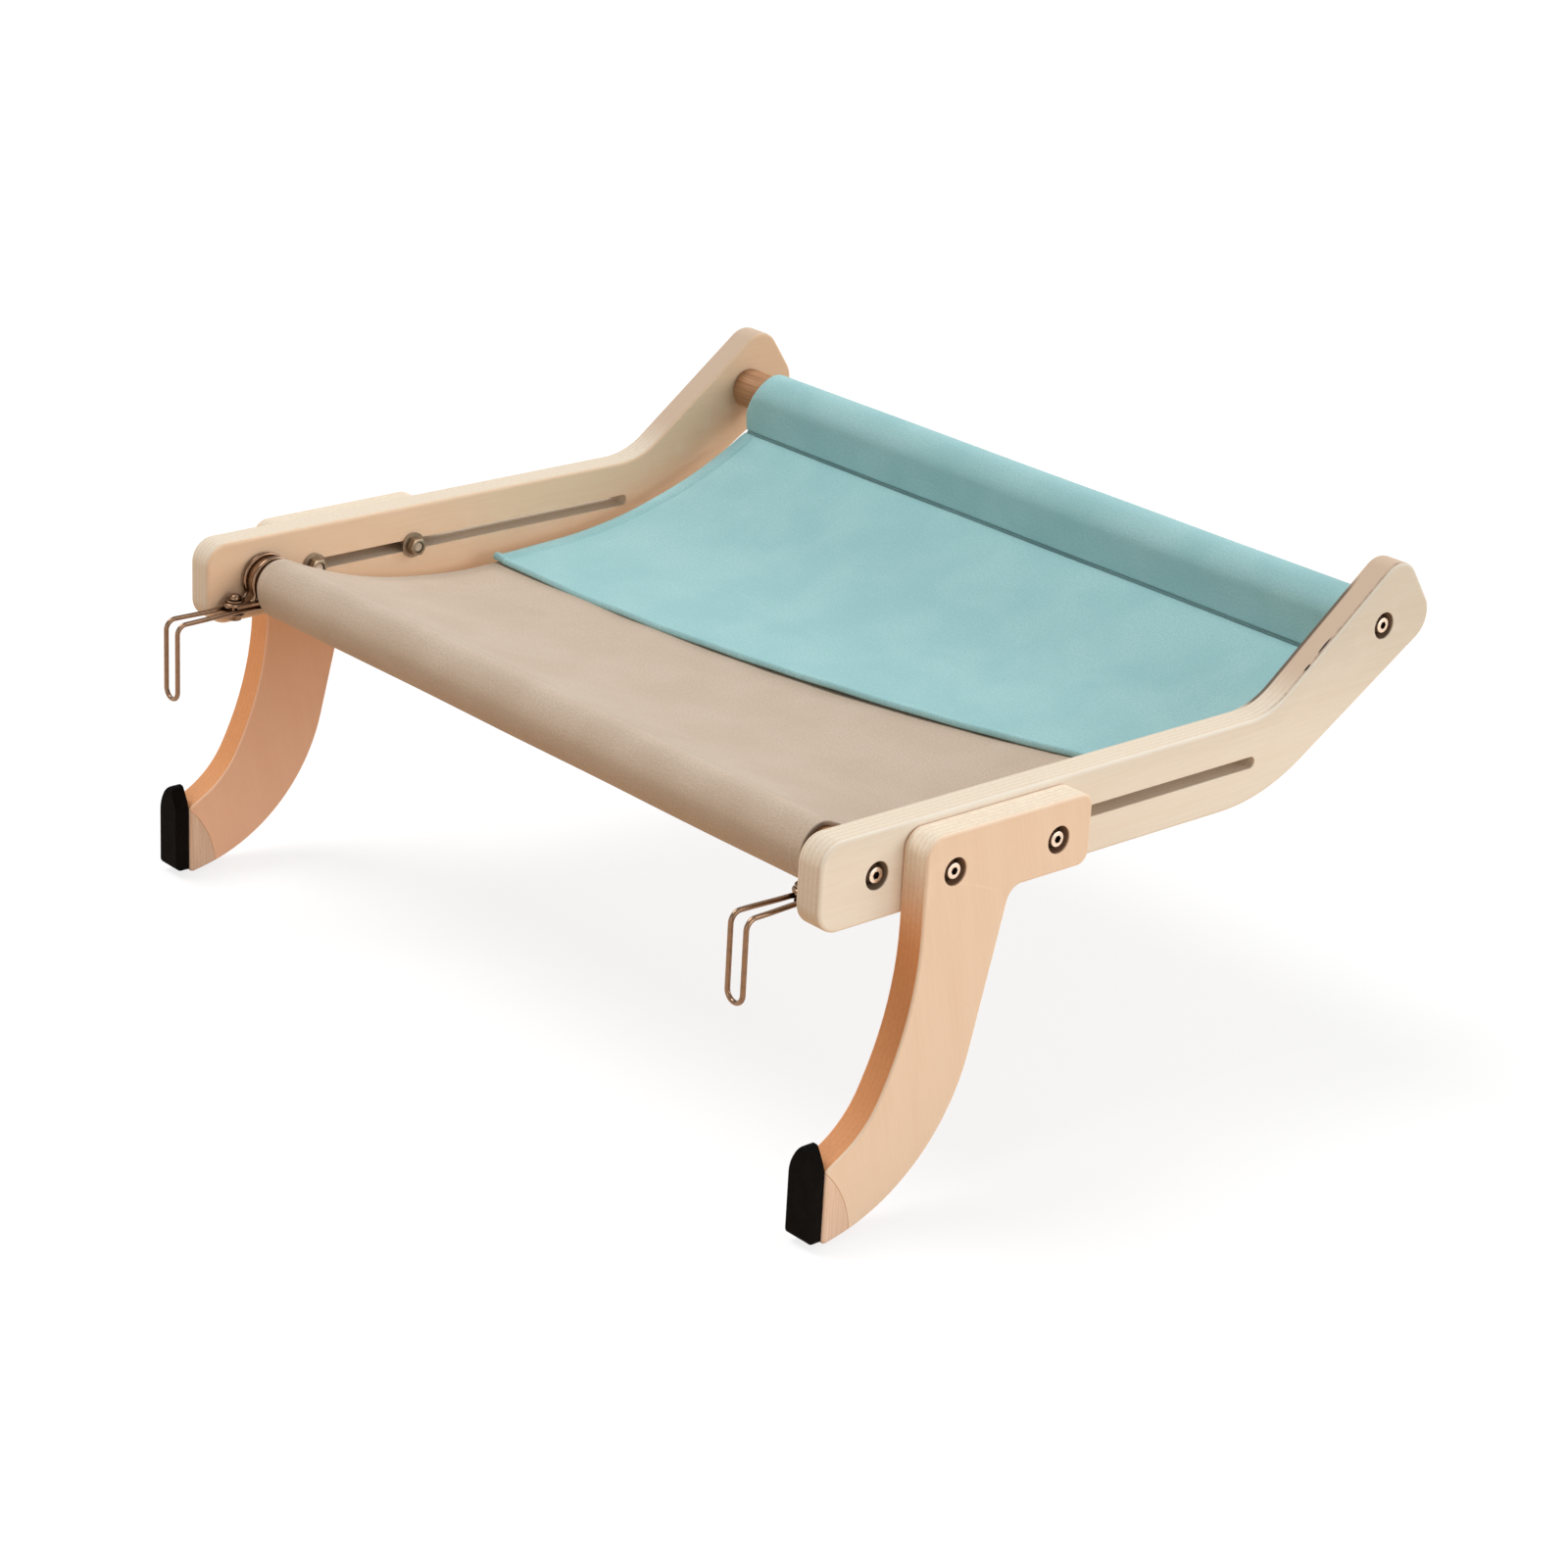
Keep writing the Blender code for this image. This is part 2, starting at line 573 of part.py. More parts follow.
def build_leg_fixings(label, side, pivot):
    """The two bolts of a leg, each with its two washers and its nut."""
    bolt = cap_screw_mesh("leg_screw", SHANK, LEG_BOLT_LENGTH, HEAD_DIAMETER, HEAD_HEIGHT,
                          SOCKET_FLATS, SOCKET_DEPTH)
    washer = washer_mesh("leg_washer", WASHER_DIAMETER, BOLT_HOLE, WASHER_THICKNESS)
    broad = washer_mesh("slide_washer", SLIDE_WASHER_DIAMETER, BOLT_HOLE, WASHER_THICKNESS)
    nut = nut_mesh("leg_nut", NUT_FLATS, BOLT_HOLE, NUT_HEIGHT, NUT_CHAMFER)
    washer_x = LEG_OUTER_X - COUNTERBORE_DEPTH + GAP
    head_x = washer_x + WASHER_THICKNESS + GAP
    broad_x = INNER_X - GAP
    nut_x = broad_x - WASHER_THICKNESS - GAP
    for place, y in (("front", LEG_BOLT_Y), ("rear", LEG_BOLT_Y + LEG_BOLT_SPACING)):
        for kind, mesh, x, facing in (("bolt", bolt, head_x, side),
                                      ("bolt_washer", washer, washer_x, side),
                                      ("slide_washer", broad, broad_x, -side),
                                      ("nut", nut, nut_x, -side)):
            name = f"{label}_leg_{place}_{kind}"
            placed = placed_mesh(name, mesh, along_x((side * x, y, AXIS_Z), facing))
            add_object(name, placed, "dark_steel", pivot)


def wire_side_path():
    """One strand's route in side view, from the tip to the clamped tail, about the dowel's axis.

    Each point is (ahead of the axis, above the axis, share of the way from ring to tip spacing).
    """
    arm = -RING_RADIUS
    corner = HOOK_REACH
    path = [(corner, arm - HOOK_DROP + HOOK_TIP_SPACING / 2)]
    for step in range(5):
        angle = math.pi / 2 * step / 4
        path.append((corner - HOOK_BEND * (1 - math.cos(angle)),
                     arm - HOOK_BEND * (1 - math.sin(angle))))
    path.append((HOOK_FLARE_START, arm))
    steps = 20
    for step in range(steps + 1):
        angle = -math.pi / 2 + RING_TURN * step / steps
        path.append((-RING_RADIUS * math.cos(angle), RING_RADIUS * math.sin(angle)))
    end = -math.pi / 2 + RING_TURN
    # The ring's heading turns outwards until the tail runs level above the arms.
    centre = (-(RING_RADIUS + TAIL_BEND) * math.cos(end), (RING_RADIUS + TAIL_BEND) * math.sin(end))
    turn = end - math.pi / 2
    for step in range(1, 6):
        angle = end - math.pi - turn * step / 5
        path.append((centre[0] - TAIL_BEND * math.cos(angle), centre[1] + TAIL_BEND * math.sin(angle)))
    path.append((HOOK_TAIL_END, path[-1][1]))
    return path


def strand_offset(ahead):
    """Half the space between the strands at a place ahead of the dowel's axis."""
    share = min(1, max(0, (ahead - HOOK_FLARE_START) / (HOOK_REACH - HOOK_BEND - HOOK_FLARE_START)))
    return (HOOK_SPACING + (HOOK_TIP_SPACING - HOOK_SPACING) * share) / 2


def hook_points(side):
    """The closed route of a hook's wire: out along one strand, back along the other."""
    middle = side * HOOK_X
    path = wire_side_path()
    near = [Vector((middle + strand_offset(a), FRONT_DOWEL_Y - a, AXIS_Z + b)) for a, b in path]
    far = [Vector((middle - strand_offset(a), FRONT_DOWEL_Y - a, AXIS_Z + b)) for a, b in path]
    tail_y, tail_z = near[-1].y, near[-1].z
    tip_y, tip_z = near[0].y, near[0].z
    tail_turn = []
    tip_turn = []
    for step in range(1, 6):
        angle = math.pi * step / 6
        tail_turn.append(Vector((middle + HOOK_SPACING / 2 * math.cos(angle),
                                 tail_y - HOOK_SPACING / 2 * math.sin(angle), tail_z)))
        tip_turn.append(Vector((middle - HOOK_TIP_SPACING / 2 * math.cos(angle), tip_y,
                                tip_z - HOOK_TIP_SPACING / 2 * math.sin(angle))))
    return near + tail_turn + far[::-1] + tip_turn


def build_hook(label, side, pivot):
    """One wire hook, a closed loop of wire ringed round the front dowel, and its clamp bolt."""
    name = label + "_hook"
    points = hook_points(side)
    curve = bpy.data.curves.new(name, "CURVE")
    curve.dimensions = "3D"
    spline = curve.splines.new("POLY")
    spline.points.add(len(points) - 1)
    for target, point in zip(spline.points, points):
        target.co = (*(point - pivot.location), 1)
    spline.use_cyclic_u = True
    curve.bevel_depth = WIRE_RADIUS
    curve.bevel_resolution = 2
    curve.materials.append(finish("nickel"))
    hook = bpy.data.objects.new(name, curve)
    bpy.context.scene.collection.objects.link(hook)
    hook.parent = pivot

    middle = side * HOOK_X
    clamp_y = FRONT_DOWEL_Y - CLAMP_PLACE
    upper = AXIS_Z + wire_side_path()[-1][1] + WIRE_RADIUS + GAP
    lower = AXIS_Z - RING_RADIUS - WIRE_RADIUS - GAP
    washer = washer_mesh("clamp_washer", CLAMP_WASHER_DIAMETER, CLAMP_SHANK + 2 * GAP,
                         CLAMP_WASHER_THICKNESS)
    for place, z in (("upper", upper), ("lower", lower - CLAMP_WASHER_THICKNESS)):
        washer_name = f"{name}_{place}_washer"
        placed = placed_mesh(washer_name, washer, Matrix.Translation((middle, clamp_y, z)))
        add_object(washer_name, placed, "nickel", pivot)

    nut = nut_mesh("clamp_nut", CLAMP_NUT_FLATS, CLAMP_SHANK + 2 * GAP, CLAMP_NUT_HEIGHT, NUT_CHAMFER)
    nut_top = lower - CLAMP_WASHER_THICKNESS - GAP
    nut_name = label + "_hook_nut"
    placed = placed_mesh(nut_name, nut, Matrix.Translation((middle, clamp_y, nut_top - CLAMP_NUT_HEIGHT)))
    add_object(nut_name, placed, "nickel", pivot)

    seat = upper + CLAMP_WASHER_THICKNESS + GAP
    length = seat - nut_top + CLAMP_NUT_HEIGHT
    dome = CLAMP_HEAD_DIAMETER / 2
    profile = [(-length, 0), (-length, CLAMP_SHANK / 2), (0, CLAMP_SHANK / 2), (0, dome)]
    for step in range(1, 6):
        angle = math.pi / 2 * step / 5
        profile.append((CLAMP_HEAD_HEIGHT * math.sin(angle), dome * math.cos(angle)))
    profile[-1] = (CLAMP_HEAD_HEIGHT, 0)
    bolt_name = label + "_hook_bolt"
    bolt = turned_mesh(bolt_name, profile, FASTENER_SIDES)
    bolt.transform(Matrix.Translation((middle, clamp_y, seat)))
    add_object(bolt_name, bolt, "nickel", pivot)


def front_sleeve_loop(inset):
    """The front sleeve's loop in side view, from the crease over the dowel and round below it."""
    radius = DOWEL_RADIUS + SLEEVE_EASE + CLOTH_THICKNESS - inset
    full = 2 * math.pi - CREASE_SPREAD
    loop = []
    for step in range(SLEEVE_STEPS):
        angle = CREASE_ANGLE + full * step / (SLEEVE_STEPS - 1)
        tall = radius if math.sin(angle) > 0 else radius + FRONT_SLEEVE_SLACK
        loop.append((FRONT_DOWEL_Y + radius * math.cos(angle), AXIS_Z + tall * math.sin(angle)))
    return loop


def rear_sleeve_loop(inset):
    """The rear sleeve's teardrop in side view, from its seam up the front, over and down behind."""
    radius = DOWEL_RADIUS + SLEEVE_EASE + CLOTH_THICKNESS - inset
    outer = DOWEL_RADIUS + SLEEVE_EASE + CLOTH_THICKNESS
    reach = math.hypot(SEAM_FORWARD, SEAM_DROP) * radius / outer
    heading = math.atan2(-SEAM_DROP, -SEAM_FORWARD)
    open_angle = math.acos(radius / reach)
    across = Vector((math.sin(heading), -math.cos(heading)))
    seam = Vector((REAR_DOWEL_Y + reach * math.cos(heading), REAR_DOWEL_Z + reach * math.sin(heading)))
    half_seam = CLOTH_THICKNESS / 2 if inset == 0 else CLOTH_THICKNESS / 6
    first = seam + across * half_seam
    last = seam - across * half_seam
    loop = [(first.x, first.y)]
    start = heading - open_angle
    full = 2 * math.pi - 2 * open_angle
    for step in range(SLEEVE_STEPS - 2):
        angle = start - full * step / (SLEEVE_STEPS - 3)
        loop.append((REAR_DOWEL_Y + radius * math.cos(angle), REAR_DOWEL_Z + radius * math.sin(angle)))
    loop.append((last.x, last.y))
    return loop


def sling_point(share, height):
    """A point of the hanging sheet in side view.

    share runs from the front crease to the rear seam, and height is measured square to the sheet
    from its upper face.
    """
    loop = front_sleeve_loop(0)
    start = Vector(loop[0])
    end = Vector((REAR_DOWEL_Y - SEAM_FORWARD, REAR_DOWEL_Z - SEAM_DROP))

    def place(at):
        """The upper face's point at a share of the way."""
        middle = 1 - abs(2 * at - 1) ** SAG_POWER_SHARE
        flat = start.lerp(end, at)
        return Vector((flat.x, flat.y - SAG_DEPTH * middle))

    step = 1 / (8 * SHEET_STEPS)
    ahead = place(min(1, share + step))
    behind = place(max(0, share - step))
    along = (ahead - behind).normalized()
    normal = Vector((-along.y, along.x))
    return place(share) + normal * height


def hem_y(x):
    """The front hem's place along Y at a place across the perch."""
    share = (x / CLOTH_HALF_WIDTH + 1) / 2
    return HEM_EDGE_Y + HEM_SKEW * share ** HEM_SKEW_POWER_SHARE


def cover_right_x(y):
    """How far the cover reaches to the right: wide at its sleeve, clear of the sliding nuts ahead of it."""
    share = min(1, max(0, (y - COVER_TAPER_Y) / COVER_TAPER_LENGTH))
    return CLOTH_HALF_WIDTH + (COVER_RIGHT_X - CLOTH_HALF_WIDTH) * share * share * (3 - 2 * share)


def cloth_mesh(name, right_x, loop_outer, loop_inner, sheet_faces):
    """A cloth panel as one closed body: a sleeve that is open at both ends, and its sheet.

    right_x(y) gives the right edge. sheet_faces(x) gives the sheet's upper and lower points, from
    the sleeve outwards.
    """
    def build(bm):
        rings = len(loop_outer)
        stations = []
        for index in range(CLOTH_STATIONS + 1):
            across = index / CLOTH_STATIONS
            upper, lower = sheet_faces(CLOTH_HALF_WIDTH * (2 * across - 1))
            outer = list(loop_outer) + [tuple(p) for p in lower] + [tuple(p) for p in reversed(upper)]
            stations.append([[bm.verts.new(((1 + right_x(y) / CLOTH_HALF_WIDTH) * across * CLOTH_HALF_WIDTH
                                            - CLOTH_HALF_WIDTH, y, z)) for y, z in loop]
                             for loop in (outer, loop_inner)])
        for (outer_a, inner_a), (outer_b, inner_b) in zip(stations, stations[1:]):
            for loop_a, loop_b in ((outer_a, outer_b), (inner_a, inner_b)):
                count = len(loop_a)
                for i in range(count):
                    j = (i + 1) % count
                    bm.faces.new((loop_a[i], loop_a[j], loop_b[j], loop_b[i]))
        for outer, inner in (stations[0], stations[-1]):
            for i in range(rings):
                j = (i + 1) % rings
                bm.faces.new((outer[i], outer[j], inner[j], inner[i]))
            steps = (len(outer) - rings) // 2
            upper = [outer[0]] + [outer[-1 - i] for i in range(steps)]
            lower = [outer[rings - 1]] + [outer[rings + i] for i in range(steps)]
            for i in range(steps):
                bm.faces.new((upper[i], upper[i + 1], lower[i + 1], lower[i]))
    return mesh_from(build, name)


def build_base_sheet():
    """The beige base: its sleeve on the front dowel, its sheet back to under the cover's seam."""
    def sheet(x):
        """The base's upper and lower faces, the same at every place across."""
        shares = [BASE_END_SHARE * (i + 1) / SHEET_STEPS for i in range(SHEET_STEPS)]
        upper = [sling_point(share, 0) for share in shares]
        lower = [sling_point(share, -CLOTH_THICKNESS) for share in shares]
        return upper, lower

    mesh = cloth_mesh("base_sheet", lambda y: CLOTH_HALF_WIDTH, front_sleeve_loop(0),
                      front_sleeve_loop(CLOTH_THICKNESS), sheet)
    add_object("base_sheet", mesh, "beige_cloth")


def build_cover_sheet():
    """The teal cover: its sleeve on the rear dowel, its sheet forward over the base to its hem."""
    start_y = front_sleeve_loop(0)[0][0]
    end_y = REAR_DOWEL_Y - SEAM_FORWARD

    def sheet(x):
        """The cover's upper and lower faces from its seam to its skewed hem."""
        hem = (hem_y(x) - start_y) / (end_y - start_y)
        upper = []
        lower = []
        for i in range(SHEET_STEPS):
            share = 1 + (hem - 1) * (i + 1) / SHEET_STEPS
            roll = HEM_ROLL if i == SHEET_STEPS - 2 else 0
            ease = GAP * (2 if i < SHEET_STEPS - 1 else 3)
            upper.append(sling_point(share, ease + CLOTH_THICKNESS + roll))
            lower.append(sling_point(share, ease))
        return upper, lower

    mesh = cloth_mesh("cover_sheet", cover_right_x, rear_sleeve_loop(0),
                      rear_sleeve_loop(CLOTH_THICKNESS), sheet)
    add_object("cover_sheet", mesh, "teal_cloth")


def main():
    """Build every piece in turn."""
    clear_scene()
    for label, side in SIDES.items():
        build_rail(label, side)
    build_dowel("front_dowel", FRONT_DOWEL_Y, AXIS_Z)
    build_dowel("rear_dowel", REAR_DOWEL_Y, REAR_DOWEL_Z)
    build_dowel_fixings()
    for label, side in SIDES.items():
        slide = add_pivot(label + "_leg_pivot", (side * LEG_X, LEG_BOLT_Y, AXIS_Z))
        build_leg(label, side, slide)
        build_leg_fixings(label, side, slide)
        swing = add_pivot(label + "_hook_pivot", (side * HOOK_X, FRONT_DOWEL_Y, AXIS_Z))
        build_hook(label, side, swing)
    build_base_sheet()
    build_cover_sheet()


main()
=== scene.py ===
"""Looks of a cat window perch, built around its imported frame.

All sizes are in metres, in the frame's own axes: X along the dowels, Y from the window side to the
raised rear end, Z up. The origin lies midway between the rails' front ends, on their undersides.
"""
import logging
import math
from bisect import bisect_right
from collections.abc import Callable, Mapping, Sequence
from dataclasses import dataclass, field
from enum import Enum

import bmesh
import bpy
from mathutils import Matrix, Vector, noise


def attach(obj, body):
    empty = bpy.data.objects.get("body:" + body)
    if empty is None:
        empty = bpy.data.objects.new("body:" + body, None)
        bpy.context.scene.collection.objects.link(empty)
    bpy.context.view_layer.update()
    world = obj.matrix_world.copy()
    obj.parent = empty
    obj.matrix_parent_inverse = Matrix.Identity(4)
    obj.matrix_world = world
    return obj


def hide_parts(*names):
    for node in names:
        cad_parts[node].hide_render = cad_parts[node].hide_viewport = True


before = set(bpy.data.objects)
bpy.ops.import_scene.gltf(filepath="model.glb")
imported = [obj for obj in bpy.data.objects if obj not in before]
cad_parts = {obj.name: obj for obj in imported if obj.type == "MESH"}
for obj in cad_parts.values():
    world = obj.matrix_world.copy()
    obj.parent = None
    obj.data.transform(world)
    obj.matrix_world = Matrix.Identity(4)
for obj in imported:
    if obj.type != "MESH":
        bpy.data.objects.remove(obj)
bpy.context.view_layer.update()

LOG = logging.getLogger("window_perch")

Mesh = bpy.types.Mesh
Node = bpy.types.Node
Object = bpy.types.Object
Socket = bpy.types.NodeSocket
Sockets = Mapping[str, Socket]
Tree = bpy.types.NodeTree
BMesh = bmesh.types.BMesh
BMVert = bmesh.types.BMVert
RGB = tuple[float, float, float]
Corner = tuple[float, float, float]
Rows = list[tuple[float, float, float, float, float]]

GAP = 0.0003
SPARE = 0.003
ARC_STEP = math.radians(3)
SHARP = math.radians(40)
EDGE_TURNS = (0.0, 0.45, 0.9, 1.25)
FRAME_BODY = "frame"
SHADER_TREE = "ShaderNodeTree"
POINT = {"Point": "Vector"}


def tone(red: int, green: int, blue: int) -> RGB:
    """Turn a screen colour of 0 to 255 into scene-linear values.

    Args:
        red: Red channel.
        green: Green channel.
        blue: Blue channel.

    Returns:
        The linear colour.
    """
    def linear(value: int) -> float:
        """One channel."""
        share = value / 255
        return share / 12.92 if share <= 0.04045 else ((share + 0.055) / 1.055) ** 2.4
    return linear(red), linear(green), linear(blue)


def scaled(color: RGB, share: float) -> RGB:
    """A colour made darker or lighter by a factor."""
    return tuple(min(1.0, share * part) for part in color)


class Side(Enum):
    """The two sides of the perch, as the sign of X."""

    LEFT = -1
    RIGHT = 1

    @property
    def label(self) -> str:
        """The side's word in names."""
        return self.name.lower()

    @property
    def slide_body(self) -> str:
        """The body of this side's leg."""
        return f"{self.label}_leg_slide"

    @property
    def swing_body(self) -> str:
        """The body of this side's hook."""
        return f"{self.label}_hook_swing"


def floats(*names: str) -> dict[str, str]:
    """Sockets of plain numbers, as the kind of each by name."""
    return dict.fromkeys(names, "Float")


class Graph:
    """A node tree that is being wired."""

    def __init__(self, tree: Tree) -> None:
        """Take the tree to fill, a material's or a node group's."""
        self.tree = tree

    @classmethod
    def opened(cls, name: str, tree_kind: str, inputs: Mapping[str, str],
               outputs: Mapping[str, str]) -> tuple["Graph", Sockets, Sockets]:
        """Open a node group with its sockets.

        Args:
            name: The group's name.
            tree_kind: Its type name.
            inputs: The kind of each input by name.
            outputs: The kind of each output by name.

        Returns:
            The graph, what the group is given, and the sockets of its result.
        """
        tree = bpy.data.node_groups.new(name, tree_kind)
        for way, sockets in (("INPUT", inputs), ("OUTPUT", outputs)):
            for key, kind in sockets.items():
                tree.interface.new_socket(key, in_out=way, socket_type=f"NodeSocket{kind}")
        graph = cls(tree)
        return graph, graph.node("NodeGroupInput").outputs, graph.node("NodeGroupOutput").inputs

    def node(self, kind: str, inputs: Mapping[str | int, object] | None = None, **settings: object) -> Node:
        """Add a node, set its properties, and set or link its inputs.

        Args:
            kind: The node's type name.
            inputs: Values or sockets by input name or number.
            **settings: The node's own properties.

        Returns:
            The new node.
        """
        made = self.tree.nodes.new(kind)
        for key, value in settings.items():
            setattr(made, key, value)
        for key, value in (inputs or {}).items():
            self.feed(made.inputs[key], value)
        return made

    def feed(self, socket: Socket, value: object) -> None:
        """Link a socket to the input, or set its value.

        Args:
            socket: The input.
            value: A socket, a number, a vector or a colour.
        """
        if isinstance(value, Socket):
            self.tree.links.new(value, socket)
        elif socket.type == "RGBA" and len(value) == 3:
            socket.default_value = (*value, 1.0)
        else:
            socket.default_value = value

    def math(self, operation: str, *values: object, clamp: bool = False) -> Socket:
        """One Math node's result, kept from 0 to 1 if it is to be clamped."""
        made = self.node("ShaderNodeMath", dict(enumerate(values)), operation=operation, use_clamp=clamp)
        return made.outputs[0]

    def plus(self, first: object, second: object) -> Socket:
        """The sum of two values."""
        return self.math("ADD", first, second)

    def minus(self, first: object, second: object) -> Socket:
        """The first value less the second."""
        return self.math("SUBTRACT", first, second)

    def times(self, first: object, second: object) -> Socket:
        """The product of two values."""
        return self.math("MULTIPLY", first, second)

    def ratio(self, first: object, second: object) -> Socket:
        """The first value divided by the second."""
        return self.math("DIVIDE", first, second)

    def greater(self, first: object, second: object) -> Socket:
        """The greater of two values."""
        return self.math("MAXIMUM", first, second)

    def over(self, first: object, second: object) -> Socket:
        """1 where the first value is greater than the second, else 0."""
        return self.math("GREATER_THAN", first, second)

    def size(self, value: object) -> Socket:
        """A value without its sign."""
        return self.math("ABSOLUTE", value)

    def vector(self, operation: str, *values: object) -> Socket:
        """One Vector Math node's vector."""
        return self.node("ShaderNodeVectorMath", dict(enumerate(values)), operation=operation).outputs[0]

    def joined(self, x: object, y: object, z: object = 0.0) -> Socket:
        """Three values as one vector."""
        return self.node("ShaderNodeCombineXYZ", {0: x, 1: y, 2: z}).outputs[0]

    def parted(self, vector: Socket) -> tuple[Socket, ...]:
        """A vector's three values."""
        return tuple(self.node("ShaderNodeSeparateXYZ", {0: vector}).outputs)

    def blend(self, share: object, low: object, high: object, mode: str = "MIX") -> Socket:
        """Mix a share of the second colour into the first."""
        made = self.node("ShaderNodeMix", {0: share, 6: low, 7: high}, data_type="RGBA", blend_type=mode)
        return made.outputs[2]

    def remap(self, value: object, low: float, high: float, to_low: float = 0.0,
              to_high: float = 1.0, smooth: bool = True) -> Socket:
        """Map a value from one range to another, kept inside it.

        Args:
            value: The value's socket.
            low: Start of its range.
            high: End of its range.
            to_low: What the start becomes.
            to_high: What the end becomes.
            smooth: Whether to ease in and out.

        Returns:
            The mapped value's socket.
        """
        kind = "SMOOTHSTEP" if smooth else "LINEAR"
        made = self.node("ShaderNodeMapRange", {0: value, 1: low, 2: high, 3: to_low, 4: to_high},
                         interpolation_type=kind)
        return made.outputs[0]

    def noise(self, point: object, scale: object, detail: float = 3.0, rough: float = 0.55,
              distortion: float = 0.0) -> Socket:
        """A noise value about 0.5, at a point and of a scale, with its octaves, roughness and warp."""
        made = self.node("ShaderNodeTexNoise", {"Vector": point, "Scale": scale, "Detail": detail,
                                                "Roughness": rough, "Distortion": distortion})
        return made.outputs[0]

    def attribute(self, name: str) -> Socket:
        """The value of a mesh's own attribute."""
        return self.node("ShaderNodeAttribute", attribute_name=name, attribute_type="GEOMETRY").outputs["Fac"]

    def turned(self, point: Socket, turn: Corner) -> Socket:
        """A point turned about the origin."""
        return self.node("ShaderNodeMapping", {"Vector": point, "Rotation": turn}).outputs[0]

    def bump(self, height: Socket, strength: float, distance: float) -> Socket:
        """The normal of a surface that a height roughens."""
        made = self.node("ShaderNodeBump", {"Strength": strength, "Distance": distance, "Height": height})
        return made.outputs[0]

    def group(self, tree: Tree, **inputs: object) -> Sockets:
        """Place a shader node group.

        Args:
            tree: The group.
            **inputs: Its inputs by name, with underscores for spaces.

        Returns:
            The group's outputs by name.
        """
        made = self.node("ShaderNodeGroup", node_tree=tree)
        for key, value in inputs.items():
            self.feed(made.inputs[key.replace("_", " ")], value)
        return made.outputs


